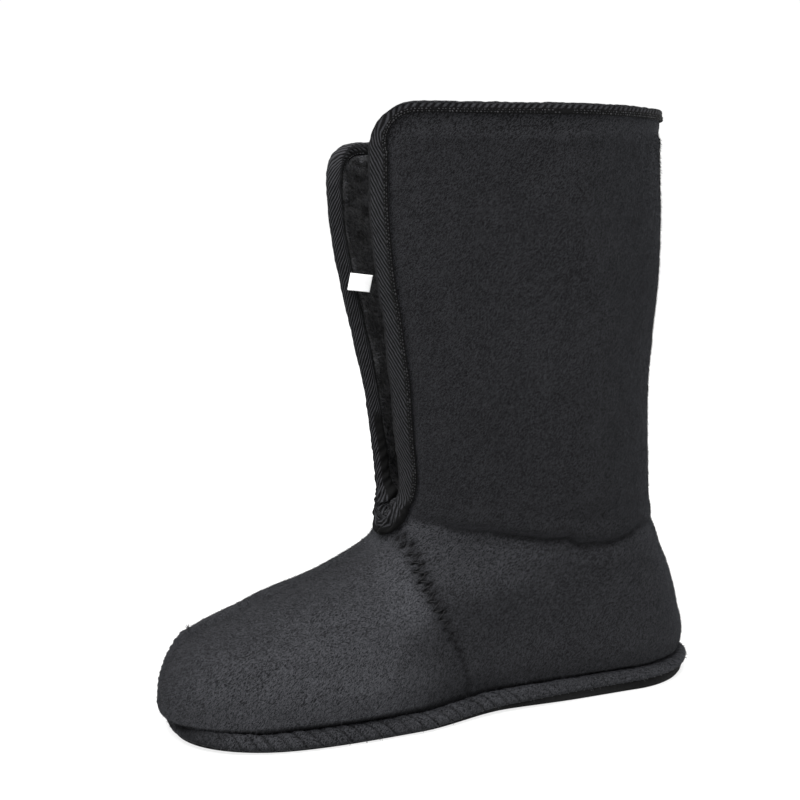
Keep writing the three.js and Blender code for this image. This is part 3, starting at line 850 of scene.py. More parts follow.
class YarnTree(Tree):
    """Sweeps a round yarn along every run of edges."""

    def __init__(self) -> None:
        """Builds the tree."""
        super().__init__("swept_yarn", {
            "Radius": ("NodeSocketFloat", 0.0003), "Sides": ("NodeSocketInt", 5),
            "Material": ("NodeSocketMaterial", None),
        })
        path = self.node("GeometryNodeMeshToCurve", None, {"Mesh": self.given("Geometry")})
        ring = self.node("GeometryNodeCurvePrimitiveCircle", None,
                         {"Resolution": self.given("Sides"), "Radius": self.given("Radius")})
        tube = self.node("GeometryNodeCurveToMesh", None, {
            "Curve": path.outputs[0], "Profile Curve": ring.outputs[0], "Fill Caps": True})
        smooth = self.node("GeometryNodeSetShadeSmooth", None, {"Geometry": tube.outputs[0]})
        self.close(smooth.outputs[0])


def yarn_paths(name: str, paths: list[Array]) -> bpy.types.Object:
    """An object of plain edges that a yarn is swept along.

    Args:
        name: Name of the object.
        paths: Points of each path in millimetres.

    Returns:
        The object, which is removed once the yarn is made.
    """
    points, edges, start = [], [], 0
    for path in paths:
        points.append(path * MILLIMETRE + ROW_ORIGIN)
        edges += [(start + i, start + i + 1) for i in range(len(path) - 1)]
        start += len(path)
    mesh = bpy.data.meshes.new(name)
    mesh.from_pydata(np.concatenate(points).tolist(), edges, [])
    return placed(name, mesh)


def stitch_points(name: str, points: Array, along: Array, face: Array, grow: Array) -> bpy.types.Object:
    """An object of plain points, in millimetres, that stitches are set on."""
    kit = MeshKit(name)
    kit.add(points, NO_FACES, along=unit(along), face=unit(face), grow=grow)
    return kit.object()


def discard(base: bpy.types.Object) -> None:
    """Removes a construction object and its mesh."""
    mesh = base.data
    bpy.data.objects.remove(base)
    bpy.data.meshes.remove(mesh)


def carry(piece: bpy.types.Object, slot: str, *nodes: str) -> bpy.types.Object:
    """Hangs a finished piece on the liner's one body, hides the named CAD parts and logs its triangles."""
    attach(piece, "root")
    if nodes:
        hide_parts(*nodes)
    triangles = sum(len(face.vertices) - 2 for face in piece.data.polygons)
    log.info("%s: %d triangles", piece.name, triangles)
    return piece


@dataclass
class Trees:
    """The Geometry Nodes trees that the sub-assemblies share."""

    fibres: FibreTree
    stitches: StitchTree
    yarn: YarnTree

    def spin(self, paths: list[Array], name: str, finish: ThreadFinish, slot: str, **values: Any) -> None:
        """Sweeps a yarn along paths and carries it as one piece."""
        self._make(self.yarn, yarn_paths(name + "_paths", paths), name, finish, slot, values)

    def stitch(self, spots: tuple[Array, ...], name: str, finish: ThreadFinish, slot: str, **values: Any) -> None:
        """Sets stitches on points with their directions and sizes, and carries them as one piece."""
        self._make(self.stitches, stitch_points(name + "_points", *spots), name, finish, slot, values)

    @staticmethod
    def _make(tree: Tree, base: bpy.types.Object, name: str, finish: ThreadFinish, slot: str,
              values: dict[str, Any]) -> None:
        """Makes a piece on a construction object, which is removed."""
        carry(tree.run(base, name, finish.material(), **values), slot)
        discard(base)


@dataclass
class Seams:
    """Where the panels meet and where the ankle folds, as tables over the surface."""

    vamp_around: Profile = Profile(
        (13, 171), (19, 170), (25.5, 166.4), (33, 160.5), (42.5, 148.2), (53, 122.8), (61, 100.3), (69, 75.3),
        (78, 50), (85, 32.5), (90.5, 21.3), (95, 13), (99, 9)
    )
    crease_left: Profile = Profile(
        (22, 88), (34, 86.9), (43, 87.1), (53, 84.5), (64, 82.6), (81, 82.4), (90, 86.1), (100, 85.8), (112, 88),
        (121, 89.7), (136, 93.2), (147.5, 94.9), (158.6, 98.6), (170, 100.5)
    )
    crease_right: Profile = Profile(
        (22, 88), (40, 85), (58, 88.5), (75, 86), (95, 90.5), (112, 87.5), (130, 92), (150, 94), (170, 101)
    )
    toe_around: float = 11.0

    def vamp_line(self, count: int = 260) -> tuple[Array, Array]:
        """The vamp seam's addresses, from the flange up to the throat."""
        level = np.linspace(12.5, 97.0, count)
        return self.vamp_around(level), level

    def crease(self, side: Side) -> Profile:
        """Height of the ankle fold along the boot on one side."""
        return self.crease_left if side is Side.LEFT else self.crease_right


SEAMS = Seams()


class Relief:
    """Soft shapes of the fleece: folds, seams, puckers and lumps, as offsets along the surface's normal."""

    DEEPEST_FOLD = 3.6
    FLANGE_PINCH = 6.3

    def __init__(self, side: Side) -> None:
        """Prepares the seam's own points for one side."""
        self.side = side
        self.fold_depth = Profile(
            (20, 0.5), (36, 1.4), (60, 3.2), (100, self.DEEPEST_FOLD), (135, 2.8), (158, 1.6), (176, 0.3)
        )
        self.noise = Noise(11)
        around, level = SEAMS.vamp_line()
        self.seam_points = FORM.outer(side.value, around, level)
        self.seam_runs = running(self.seam_points)

    def seam_distance(self, points: Array, around: Array, level: Array) -> tuple[Array, Array]:
        """Signed distance from the vamp seam, positive on the quarter, and the run along it."""
        flat = points.reshape(-1, 3)
        best = np.full(len(flat), 99.0)
        run = np.zeros(len(flat))
        near = np.flatnonzero((np.abs(flat[:, 0] - 158) < 40) & (flat[:, 2] < 110))
        gaps = np.linalg.norm(flat[near, None] - self.seam_points[None], axis=2)
        nearest = gaps.argmin(axis=1)
        best[near] = gaps[np.arange(len(near)), nearest]
        run[near] = self.seam_runs[nearest]
        sign = np.where(around.ravel() > SEAMS.vamp_around(level.ravel()), 1, -1)
        return (best * sign).reshape(around.shape), run.reshape(around.shape)

    def offsets(self, points: Array, around: Array, level: Array, from_edge: Array) -> dict[str, Array]:
        """Offsets and shading masks of the outer face.

        Args:
            points: Smooth surface points.
            around: Distance round from the front centre.
            level: Nominal height.
            from_edge: Distance from the taped edge.

        Returns:
            The offset with the masks that the fleece's material reads.
        """
        x, z = points[..., 0], points[..., 2]
        free = ease((from_edge - 9) / 8)
        lumps = 0.8 * self.noise(points, 34) + 0.35 * self.noise(points, 12) + 0.16 * self.noise(points, 3.4)
        lumps = lumps + 0.09 * self.noise(points + 50, 1.7)
        seam, dark, gap = self._seam(points, around, level)
        fold_height = z - SEAMS.crease(self.side)(x)
        pale = paleness(self._tone_and_painted_light(points, level, gap, fold_height))
        fold = fold_height + 0.8 * self.noise(points, 21)
        depth = self.fold_depth(x)
        crease = depth * (0.72 * hump(fold - 5.2, 5.2) + 0.36 * hump(fold + 8, 6.0) - 0.7 * hump(fold - 0.1, 2.8))
        second = hump(fold + 5.2 + 1.4 * self.noise(points, 23), 1.5) * ease((x - 66) / 20) * ease((160 - x) / 25)
        crease = crease - 0.7 * second
        # Painted shade in the ankle fold and along its second ridge.
        shaded = 0.62 * hump(fold - 0.4, 1.7) + 0.34 * hump(fold - 4.0, 3.4)
        dark = dark + depth / self.DEEPEST_FOLD * shaded + 0.15 * second
        to_back = FORM.length(level) - around
        ridge = 1.5 * hump(to_back, 5.0) - 0.55 * hump(to_back, 0.9)
        ridge = ridge + 0.3 * np.sin(2 * np.pi * z / 3.3) * hump(to_back - 1.6, 1.2)
        off_seam = -self.side.value * around - SEAMS.toe_around
        low = ease((48 - level) / 6)
        toe = low * (0.8 * hump(off_seam, 3.4) - 0.6 * hump(off_seam, 0.9))
        toe = toe + low * 0.45 * np.sin(2 * np.pi * z / 3.1) * hump(off_seam - 1.2, 1.8)
        toe = toe + 1.1 * hump(off_seam, 5) * hump(level - 45, 4)
        above = np.clip(level - 12, 0, 99)
        pucker = np.sin(2 * np.pi * self.side.value * around / self.FLANGE_PINCH + 2.0 * self.noise(points, 20))
        bulging = ease((around - 40) / 60)
        tuck = (0.4 * pucker - 0.3) * np.exp(-above / 4.0) + 1.2 * bulging * hump(above - 12, 9)
        tuck = tuck * ease((level - 12) / 1.5)
        taped = -0.55 * hump(from_edge - 10.5, 2.2) + 0.5 * hump(from_edge - 15.5, 3.0)
        return {"offset": free * (lumps + seam + crease + tuck) + ridge * ease((from_edge - 2) / 6) + toe
                + taped * ease(from_edge / 3), "worn_dark": np.clip(dark, 0, 1), "pale": pale}

    def _tone_and_painted_light(self, points: Array, level: Array, gap: Array, fold_height: Array) -> Array:
        """How light the cloth is painted beside the plain one, panel by panel, with painted light and shade: lighter
        where the vamp faces sideways and beside the seam's upper part, lighter on the upper quarter towards the
        front, and painted shade towards the back of the shaft.

        Args:
            points: Smooth surface points.
            level: Nominal height.
            gap: Signed distance from the vamp seam.
            fold_height: Height above the ankle fold.

        Returns:
            The lightness, 1 for the plain cloth.
        """
        x, z = points[..., 0], points[..., 2]
        normals = unit(np.cross(np.gradient(points, axis=1), np.gradient(points, axis=0)))
        # Painted light on the vamp: lighter where it faces sideways, darker where it faces forward, and a lighter
        # band beside the seam's upper part.
        vamp = 0.95 + 1.2 * np.abs(normals[..., 1]) - 0.35 * np.abs(normals[..., 0])
        vamp = vamp + 0.45 * hump(gap + 12, 11) * ease((level - 50) / 14)
        # Painted shade towards the back of the shaft.
        shaft = 0.88 - 0.2 * ease((85 - x) / 45)
        # Painted light on the upper quarter, growing towards the front and the top.
        quarter = 1 + 0.8 * ease((x - 58) / 90) * ease((z - 55) / 22)
        heel_part = quarter + (shaft - quarter) * ease((fold_height + 3) / 7)
        spread = 2.5 + 40 * ease((60 - level) / 18)
        on_vamp = ease(-gap / spread) * ease((102 - level) / 4)
        return heel_part + (vamp - heel_part) * on_vamp

    def _seam(self, points: Array, around: Array, level: Array) -> tuple[Array, Array, Array]:
        """The vamp seam's two rows of dimples, the painted shade in them, and the distance from the seam."""
        gap, run = self.seam_distance(points, around, level)
        size = 0.5 + 0.5 * ease((level - 28) / 45)
        beat = run / 5.3 + 0.22 * self.noise(points, 8)
        loose = 0.75 + 0.5 * self.noise(points + 90, 6)
        front = hump(gap + 2.2 * size, 1.8 * size) * np.clip(np.cos(2 * np.pi * beat), 0, 1)
        back = hump(gap - 2.2 * size, 1.8 * size) * np.clip(-np.cos(2 * np.pi * beat), 0, 1)
        dimples = (front + back) * loose
        sunken = hump(gap, 3.4 * size)
        offset = -2.0 * size * dimples - 0.8 * sunken + 0.6 * size * hump(np.abs(gap) - 5.2 * size, 2.0)
        # Painted shade in the dimples and along the sunken seam line.
        return offset, (1.3 * dimples + 0.5 * sunken) * (0.5 + 0.5 * size), gap


@dataclass
class Upper:
    """Fleece shell of the liner in two halves, its pile lining and the nap on both."""

    trees: Trees
    columns: int = 205
    corner_columns: int = 22
    foot_rows: int = 96
    throat_rows: int = 7
    shaft_rows: int = 150
    lining_step: int = 2
    half_wall: float = 2.25
    rim_pale: float = 0.36
    lip_path: tuple[tuple[float, float], ...] = ((11.4, 2.9), (8.4, 3.0), (7.6, 4.4), (7.3, 5.8), (7.0, 7.0))

    def _addresses(self, side: Side, step: int = 1) -> tuple[Array, Array, Array, int]:
        """Addresses of the wall's grid on one side, from the flange to the edge.

        Args:
            side: Side of the boot.
            step: Coarseness of the grid.

        Returns:
            Level, around and distance from the taped edge of each grid point, and the first row of the slit.
        """
        corner = np.linspace(0, 1, self.corner_columns // step + 1)
        share = np.linspace(0, 1, (self.columns - self.corner_columns) // step + 1)[1:]
        theta = np.concatenate([corner, np.ones_like(share)]) * np.pi / 2
        spot = np.concatenate([corner, np.ones_like(share)])
        share = np.concatenate([np.zeros_like(corner), share])
        radius = FORM.CORNER_RADIUS
        foot = np.linspace(FORM.LEVELS[0], FORM.THROAT_LEVEL, self.foot_rows // step + 1)
        turn = np.linspace(0, np.pi / 2, self.throat_rows // step + 1)[1:]
        throat = FORM.THROAT_RADIUS
        low = [(level, 0.0) for level in foot]
        low += [(float(FORM.level_at_height(throat * (1 - math.cos(a)))), throat * math.sin(a)) for a in turn]
        levels, arounds = [], []
        for level, gap in low:
            spread = 1 + 0.9 * ease((FORM.THROAT_LEVEL - level) / FORM.THROAT_LEVEL)
            start = gap + radius * spread
            place = gap + spot * radius * spread + (FORM.length(level) - start) * share
            levels.append(np.full_like(place, level))
            arounds.append(place)
        top = np.where(share > 0, FORM.COLLAR_LEVEL, FORM.COLLAR_LEVEL - radius * (1 - np.sin(theta)))
        for fraction in np.linspace(0, 1, self.shaft_rows // step + 1)[1:]:
            level = FORM.slit_start + (top - FORM.slit_start) * fraction
            gap = FORM.gap(side.value, level)
            blend = fraction ** 3
            inset = radius * (spot * (1 - blend) + (1 - np.cos(theta)) * blend)
            start = gap + radius
            place = np.where(share > 0, start + (FORM.length(level) - start) * share, gap + inset)
            levels.append(level)
            arounds.append(place)
        level, around = np.array(levels), np.array(arounds)
        return level, around, self._edge_distance(side, level, around), len(foot) - 1

    @staticmethod
    def _edge_distance(side: Side, level: Array, around: Array) -> Array:
        """Distance from the taped edge, measured over the wall."""
        sideways = around - FORM.gap(side.value, level)
        below = FORM.COLLAR_LEVEL - level
        radius = FORM.CORNER_RADIUS
        corner = radius - np.hypot(radius - np.minimum(sideways, radius), radius - np.minimum(below, radius))
        beside = np.where((sideways < radius) & (below < radius), corner, np.minimum(sideways, below))
        height = level - FORM.level_at_height(FORM.THROAT_RADIUS)
        under = np.hypot(around, height) - FORM.THROAT_RADIUS
        return np.where(level < FORM.slit_start, under, beside)

    def _half(self, side: Side) -> bpy.types.Object:
        """One half of the outer fleece, from under the flange's lip to the middle of the taped edge."""
        level, around, from_edge, slit = self._addresses(side)
        smooth = FORM.outer(side.value, around, level)
        shape = Relief(side).offsets(smooth, around, level, from_edge)
        normals = FORM.normal(side.value, around, level)
        wall = smooth + normals * shape["offset"][..., None]
        centre = FORM.swing(wall[..., 0], level)
        wall[:, -1, 1] = centre[:, -1]
        wall[: slit + 1, 0, 1] = centre[: slit + 1, 0]
        lip = self._lip(side, FORM.sole_around(around[0]))
        points = np.concatenate([lip, wall])
        numbers = {
            # The turned-in lip is fully darkened with painted shade, down in the groove above the roll.
            "worn_dark": np.concatenate([np.ones(lip.shape[:2]), shape["worn_dark"]]),
            "nap": np.concatenate([np.zeros(lip.shape[:2]),
                                   ease((from_edge - 10) / 3) * (1 - 0.75 * shape["worn_dark"])]),
            "pale": np.concatenate([np.zeros(lip.shape[:2]), shape["pale"]]),
        }
        down = unit(np.gradient(points, axis=0)) * -0.75
        round_back = unit(np.gradient(points, axis=1)) * -0.65
        flip = side is Side.RIGHT
        kit = MeshKit(f"fleece_{side.word}")
        rows, columns = points.shape[:2]
        self.grid_shape, self.whole_rows = (rows, columns), len(lip) + slit + 1
        kit.add(points, grid_faces(rows, columns, flip), comb=unit(down + round_back), **numbers)
        middle = smooth - normals * self.half_wall
        self._rim(kit, middle, slit, len(lip) * columns, flip, worn_dark=0.0, pale=0.0)
        return kit.object(self.fleece)

    @staticmethod
    def _rim(kit: MeshKit, middle: Array, slit: int, first: int, flip: bool, **numbers: float) -> None:
        """Turns a wall's edge in to the middle of its thickness, up the slit and along the collar.

        Args:
            kit: Mesh that holds the wall already.
            middle: Points in the middle of the thickness, in the wall's grid.
            slit: First row of the slit.
            first: Place of the grid's first point in the mesh.
            flip: Whether the wall's faces are turned over.
            numbers: Values that the new points store, beside a bare nap.
        """
        rows, columns = middle.shape[:2]
        edge = [first + row * columns for row in range(slit, rows)]
        edge = np.array(edge + [edge[-1] + column for column in range(1, columns)])
        inner = np.concatenate([middle[slit:, 0], middle[-1, 1:]])
        values = {name: np.full(len(inner), value) for name, value in {"nap": 0.0, **numbers}.items()}
        start = kit.add(inner, NO_FACES, comb=np.tile([0.0, 0.0, -1.0], (len(inner), 1)), **values)
        k = np.arange(len(edge) - 1)
        quads = np.stack([edge[k], edge[k + 1], start + k + 1, start + k], -1)
        kit.join(quads if flip else quads[:, ::-1])

    def _lip(self, side: Side, around: Array) -> Array:
        """The shell's turned-in foot, from the insole out to the groove above the rolled edge."""
        rows = []
        for inset, height in self.lip_path:
            near = inset if inset > 9 else Flange.tucked(around, inset)
            raised = height + Flange.lift(around) * (height > 3.5)
            rows.append(FORM.edge(side.value, around, near, raised * Flange.fullness(around)))
        return np.array(rows)

    def _join_normals(self, halves: dict[Side, bpy.types.Object]) -> None:
        """Gives the two halves one shared normal along the centre lines, so that no crease shows there."""

        def read(field: str) -> dict[Side, Array]:
            """A vector of every point, for both halves."""
            found = {}
            for side, half in halves.items():
                values = np.empty(len(half.data.vertices) * 3)
                half.data.vertices.foreach_get(field, values)
                found[side] = values.reshape(-1, 3)
            return found

        normals, points = read("normal"), read("co")
        rows, columns = self.grid_shape
        place = np.arange(rows) * columns
        shared = np.concatenate([place[: self.whole_rows], place + columns - 1])
        left, right = normals[Side.LEFT][shared], normals[Side.RIGHT][shared]
        together = np.linalg.norm(points[Side.LEFT][shared] - points[Side.RIGHT][shared], axis=1) < 1e-4
        middle = unit(left + right)
        for side, half in halves.items():
            normals[side][shared] = np.where(together[:, None], middle, normals[side][shared])
            half.data.normals_split_custom_set_from_vertices(normals[side].tolist())

    def _lining(self) -> bpy.types.Object:
        """The pile inside, in one piece, from the insole to the middle of the taped edge."""
        kit = MeshKit("lining_pile")
        noise = Noise(21)
        for side in Side:
            level, around, from_edge, slit = self._addresses(side, self.lining_step)
            base = FORM.off(side.value, around, level, -FORM.WALL)
            normals = -FORM.normal(side.value, around, level)
            free = ease((from_edge - 3.5) / 3)
            tufts = noise(base, 6.5) + 0.7 * noise(base + 40, 2.9) + 0.9 * noise(base, 17)
            bulge = 1.7 * hump(from_edge - 6.5, 2.6) * (1 + noise(base, 9))
            pale = self.rim_pale * ease((12.5 + 4.5 * noise(base + 80, 8) - from_edge) / 3)
            points = base + normals * (free * (tufts + bulge + 0.3))[..., None]
            centre = FORM.swing(points[..., 0], level)
            points[:, -1, 1] = centre[:, -1]
            points[: slit + 1, 0, 1] = centre[: slit + 1, 0]
            foot = FORM.edge(side.value, FORM.sole_around(around[0]), *self.lip_path[0])
            points = np.concatenate([foot[None], points])
            rows, columns = points.shape[:2]
            down = unit(np.gradient(points, axis=0)) * -1.0
            flip = side is Side.LEFT
            nap = np.concatenate([np.zeros((1, columns)), ease((from_edge - 4) / 2)])
            pale = np.concatenate([np.zeros((1, columns)), pale])
            start = kit.add(points, grid_faces(rows, columns, flip), comb=down, nap=nap, pale=pale)
            middle = FORM.off(side.value, around, level, -self.half_wall)
            self._rim(kit, middle, slit, start + columns, flip, pale=self.rim_pale)
        return kit.object(PileFinish().material())

    def build(self) -> None:
        """Builds the shell, the lining and their fibres."""
        self.fleece = FleeceFinish().material()
        fibre = FibreFinish().material()
        halves = {side: self._half(side) for side in Side}
        for seed, (side, half) in enumerate(halves.items()):
            nap = self.trees.fibres.run(half, f"nap_{side.word}", fibre, Density=2700000.0, Length=0.0019,
                                        Width=0.00024, Lift=0.26, Stray=0.5, Seed=seed + 3)
            carry(nap, "fleece")
        self._join_normals(halves)
        carry(halves[Side.LEFT], "fleece", "upper")
        carry(halves[Side.RIGHT], "fleece")
        lining = self._lining()
        pile = self.trees.fibres.run(lining, "pile_fibres", FibreFinish("pile_tips", 0.03).material(),
                                     Density=520000.0, Length=0.0022, Width=0.0004, Lift=0.8, Stray=1.3, Seed=9)
        carry(pile, "fleece")
        carry(lining, "fleece")


@dataclass
class Flange:
    """Rolled edge that joins upper and sole, pinched by slanted loops, with a needle line and small tufts."""

    trees: Trees
    ROLL_PATH = ((7.0, 5.6), (6.6, 6.3), (5.6, 6.95), (4.3, 7.3), (2.9, 7.3), (1.7, 6.9), (0.7, 6.25), (0.0, 5.4),
                 (-0.5, 4.45), (-0.8, 3.45), (-0.85, 2.45), (-0.65, 1.5), (-0.2, 0.7), (0.5, 0.15), (1.4, 0.0))
    HIDDEN_PATH = ((2.6, 0.5), (3.2, 2.2), (5.2, 4.4))
    roll_step: float = 0.45
    roll_rows: int = 21
    roll_lightness: float = 1.5
    bare_below: float = 2.6
    clearance: float = 0.05
    tuft_clearance: float = 0.15
    yarn_radius: float = 0.00018
    ROLL_HEIGHT = 7.3
    GROOVE_INSET, GROOVE_HEIGHT = 6.5, 6.35
    SLANT, LOOSE_SLANT = 0.78, 0.55
    PITCH = Profile((0, 5.4), (60, 7.0), (150, 7.0), (215, 5.2), (400, 4.4))

    @classmethod
    def phase(cls, side: Side, around: Array) -> Array:
        """Count of loops from the toe to a place on the edge; they stand wider apart by the ball."""
        steps = np.arange(0, FORM.sole_length + 1, 0.5)
        noise = Noise(31 + side.value)
        pitch = cls.PITCH(steps) * (1 + 0.16 * noise(np.stack([steps, steps * 0, steps * 0], -1), 14))
        counts = np.concatenate([[0], np.cumsum(0.5 / pitch[:-1])])
        return np.interp(around, steps, counts)

    @staticmethod
    def tucked(around: Array, inset: Array | float) -> Array:
        """Inset of the section, which is shallower where the toe stands out over the edge."""
        share = 0.3 + 0.7 * ease((around - 25) / 70)
        return np.where(np.asarray(inset) > 1, 1 + (inset - 1) * share, inset)

    @staticmethod
    def lift(around: Array) -> Array:
        """How much higher the roll stands at the toe, where the shell bulges out over it."""
        return 1.6 * ease((62 - around) / 45)

    @classmethod
    def wave(cls, side: Side, around: Array, down: float) -> tuple[Array, Array]:
        """Swelling of the rolled edge between its pinches, in millimetres, and how much painted shade a pinch gets.

        Args:
            side: Side of the boot.
            around: Distance round the sole from the toe.
            down: Running length down over the roll from the groove above it.

        Returns:
            The swelling and the nearness of a pinch, from 0 to a little over 1.
        """
        turn = cls.phase(side, around - down * cls.SLANT)
        beat = np.abs(np.sin(np.pi * turn))
        ragged = 0.8 + 0.35 * np.sin(2.4 * np.floor(turn) + 0.6)
        even = ease((FORM.sole_length - around) / 6) * ease(around / 5)
        even = even * ease((around - 26) / 34) * (1 - 0.6 * ease((around - 165) / 60))
        swell = ragged * (1.45 * np.minimum(beat, 0.75) ** 0.6 - 1.0)
        return even * swell, even * (0.9 * hump(beat, 0.15) + 0.2 * hump(beat, 0.35)) * ragged

    @staticmethod
    def fullness(around: Array) -> Array:
        """Height of the roll beside its full height: it is thinner round the heel and under the toe."""
        return 1 - 0.24 * ease((around - 165) / 95) - 0.3 * ease((58 - around) / 50)

    def _roll(self) -> bpy.types.Object:
        """The rolled edge as one closed tube round the sole, pinched by its thread."""
        path = np.array(self.ROLL_PATH)
        runs = running(path)
        down = np.linspace(0, runs[-1], self.roll_rows)
        insets, heights = np.interp(down, runs, path[:, 0]), np.interp(down, runs, path[:, 1])
        around = np.linspace(0, FORM.sole_length, int(FORM.sole_length / self.roll_step))
        noise = Noise(37)
        halves = {}
        for side in Side:
            rows, dark, nap = [], [], []
            for k, (inset, height) in enumerate(zip(insets, heights)):
                raised = (height + self.lift(around) * height / self.ROLL_HEIGHT) * self.fullness(around)
                base = FORM.edge(side.value, around, self.tucked(around, inset), raised)
                ahead = min(k + 1, len(insets) - 1)
                back = max(k - 1, 0)
                along = np.array([insets[ahead] - insets[back], heights[ahead] - heights[back]])
                out = np.array([along[1], -along[0]]) / np.hypot(*along)
                outer = FORM.edge(side.value, around, self.tucked(around, inset) + out[0], raised + out[1]) - base
                swell, pinch = self.wave(side, around, float(down[k]))
                free = ease(down[k] / 2.2) * ease((runs[-1] - down[k]) / 3.0)
                lumps = 0.35 * noise(base, 9) + 0.25 * noise(base, 3.2)
                row = base + unit(outer) * (free * (swell + lumps))[:, None]
                row[:, 2] = np.maximum(row[:, 2], self.clearance)
                rows.append(row)
                # Painted shade: in the pinches, at the notch below the groove, under the roll at the toe and along
                # its bottom.
                notch = 0.5 * hump(down[k] - 0.4, 1.1) * ease((around - 20) / 60)
                under = 0.75 * ease((52 - around) / 34) * ease((down[k] - 3.4) / 2.5)
                low = 0.75 * ease((down[k] - 11.0) / 2.0)
                dark.append(np.clip(pinch * (0.35 + 0.65 * free) + notch + under + low, 0, 1))
                nap.append(np.full(len(around), 0.9 * float(free) * float(height > self.bare_below)))
            # Rows tucked inside the roll, fully darkened with painted shade.
            for inset, height in self.HIDDEN_PATH:
                rows.append(FORM.edge(side.value, around, self.tucked(around, inset), height))
                dark.append(np.ones(len(around)))
                nap.append(np.zeros(len(around)))
            halves[side] = (np.array(rows), np.array(dark), np.array(nap))
        left, right = halves[Side.LEFT], halves[Side.RIGHT]
        points, dark, nap = (np.concatenate([a, b[:, -2:0:-1]], axis=1) for a, b in zip(left, right))
        comb = unit(np.roll(points, -1, axis=0) - points) * 0.8
        kit = MeshKit("flange_roll")
        kit.add(points, tube_faces(*points.shape[:2], flip=True), comb=comb, worn_dark=dark, nap=nap,
                pale=np.full(dark.shape, paleness(self.roll_lightness)))
        return kit.object(FleeceFinish("rolled_fleece").material())

    def _loops(self, side: Side) -> list[Array]:
        """Paths of the slanted loops over the rolled edge."""
        total = float(self.phase(side, FORM.sole_length))
        steps = np.arange(0, FORM.sole_length + 1, 0.5)
        counts = self.phase(side, steps)
        section = ((6.7, 6.1), (5.2, 6.8), (3.2, 7.1), (1.4, 6.6), (0.2, 5.5), (-0.4, 4.3), (-0.6, 3.0),
                   (-0.5, 1.7), (0.1, 0.6), (1.4, 0.1))
        down = running(np.array(section))
        inset, height = np.array(section).T
        paths = []
        rng = np.random.default_rng(41 + side.value)
        for k in range(1, int(total)):
            for strand in (0.0, 0.5):
                if strand and rng.uniform() < 0.5:
                    continue
                place = np.interp(k + strand + rng.uniform(-0.06, 0.06), counts, steps)
                drift = rng.uniform(-0.2, 0.2, len(inset))
                slant, sunk = (self.SLANT, 0.45) if strand == 0 else (self.LOOSE_SLANT, 0.15)
                around = np.clip(place + down * slant + drift, 0, FORM.sole_length)
                raised = (height - sunk) * (1 + self.lift(around) / self.ROLL_HEIGHT) * self.fullness(around)
                raised = raised + rng.uniform(-0.12, 0.12)
                paths.append(FORM.edge(side.value, around, self.tucked(around, inset) + sunk * 0.6, raised))
        return paths

    def _needle_line(self, side: Side) -> tuple[Array, Array]:
        """Centres of the short stitches in the groove above the flange, and their direction."""
        around = np.arange(3.0, FORM.sole_length - 3, 3.1)
        around = around + np.random.default_rng(43 + side.value).normal(0, 0.35, len(around))
        raised = (self.GROOVE_HEIGHT + self.lift(around)) * self.fullness(around)
        here, ahead = (FORM.edge(side.value, at, self.tucked(at, self.GROOVE_INSET), raised)
                       for at in (around, around + 1.0))
        return here, ahead - here

    def _tufts(self) -> list[Array]:
        """Short frayed ends along the lower edge of the flange."""
        rng = np.random.default_rng(47)
        paths = []
        for side in Side:
            places = [(118.0, 5), (141.0, 5), (96.0, 5)] if side is Side.LEFT else [(130.0, 4), (250.0, 4)]
            places += [(float(a), 2) for a in rng.uniform(10, FORM.sole_length - 8, 34)]
            for around, count in places:
                for _ in range(count):
                    start = FORM.edge(side.value, np.array(around + rng.uniform(-1, 1)), 0.0, rng.uniform(0.4, 3.5))
                    place = np.array(around)
                    out = FORM.edge(side.value, place, -1.0, 0.0) - FORM.edge(side.value, place, 0.0, 0.0)
                    reach = rng.uniform(0.8, 2.2)
                    sag = rng.uniform(-0.9, 0.3)
                    t = np.linspace(0, 1, 5)[:, None]
                    bend = rng.normal(0, 0.35, 3)
                    path = start + out * reach * t + np.array([0, 0, sag]) * t ** 2 + bend * np.sin(np.pi * t)
                    path[:, 2] = np.maximum(path[:, 2], self.tuft_clearance)
                    paths.append(path)
        return paths

    def build(self) -> None:
        """Builds the roll with its nap, the yarn, the needle line and the tufts."""
        roll = self._roll()
        nap = self.trees.fibres.run(roll, "flange_nap", FibreFinish("flange_fibres").material(), Density=2300000.0,
                                    Length=0.0016, Width=0.00028, Lift=0.35, Stray=0.7, Seed=15)
        carry(nap, "fleece")
        carry(roll, "fleece")
        for side in Side:
            self.trees.spin(self._loops(side), f"flange_loops_{side.word}", ThreadFinish("overlock_yarn", 0.014),
                            "sole_textile", Radius=self.yarn_radius, Sides=5)
            here, along = self._needle_line(side)
            face = np.tile([0.0, 0.25 * side.value, 1.0], (len(here), 1))
            spots = (here, along, face, np.ones(len(here)))
            self.trees.stitch(spots, f"needle_line_{side.word}", ThreadFinish("needle_thread", 0.03), "sole_textile",
                              Length=0.0017, Width=0.0005, Height=0.0004)
        self.trees.spin(self._tufts(), "flange_tufts", ThreadFinish("frayed_ends", 0.025), "sole_textile",
                        Radius=0.00011, Sides=3)


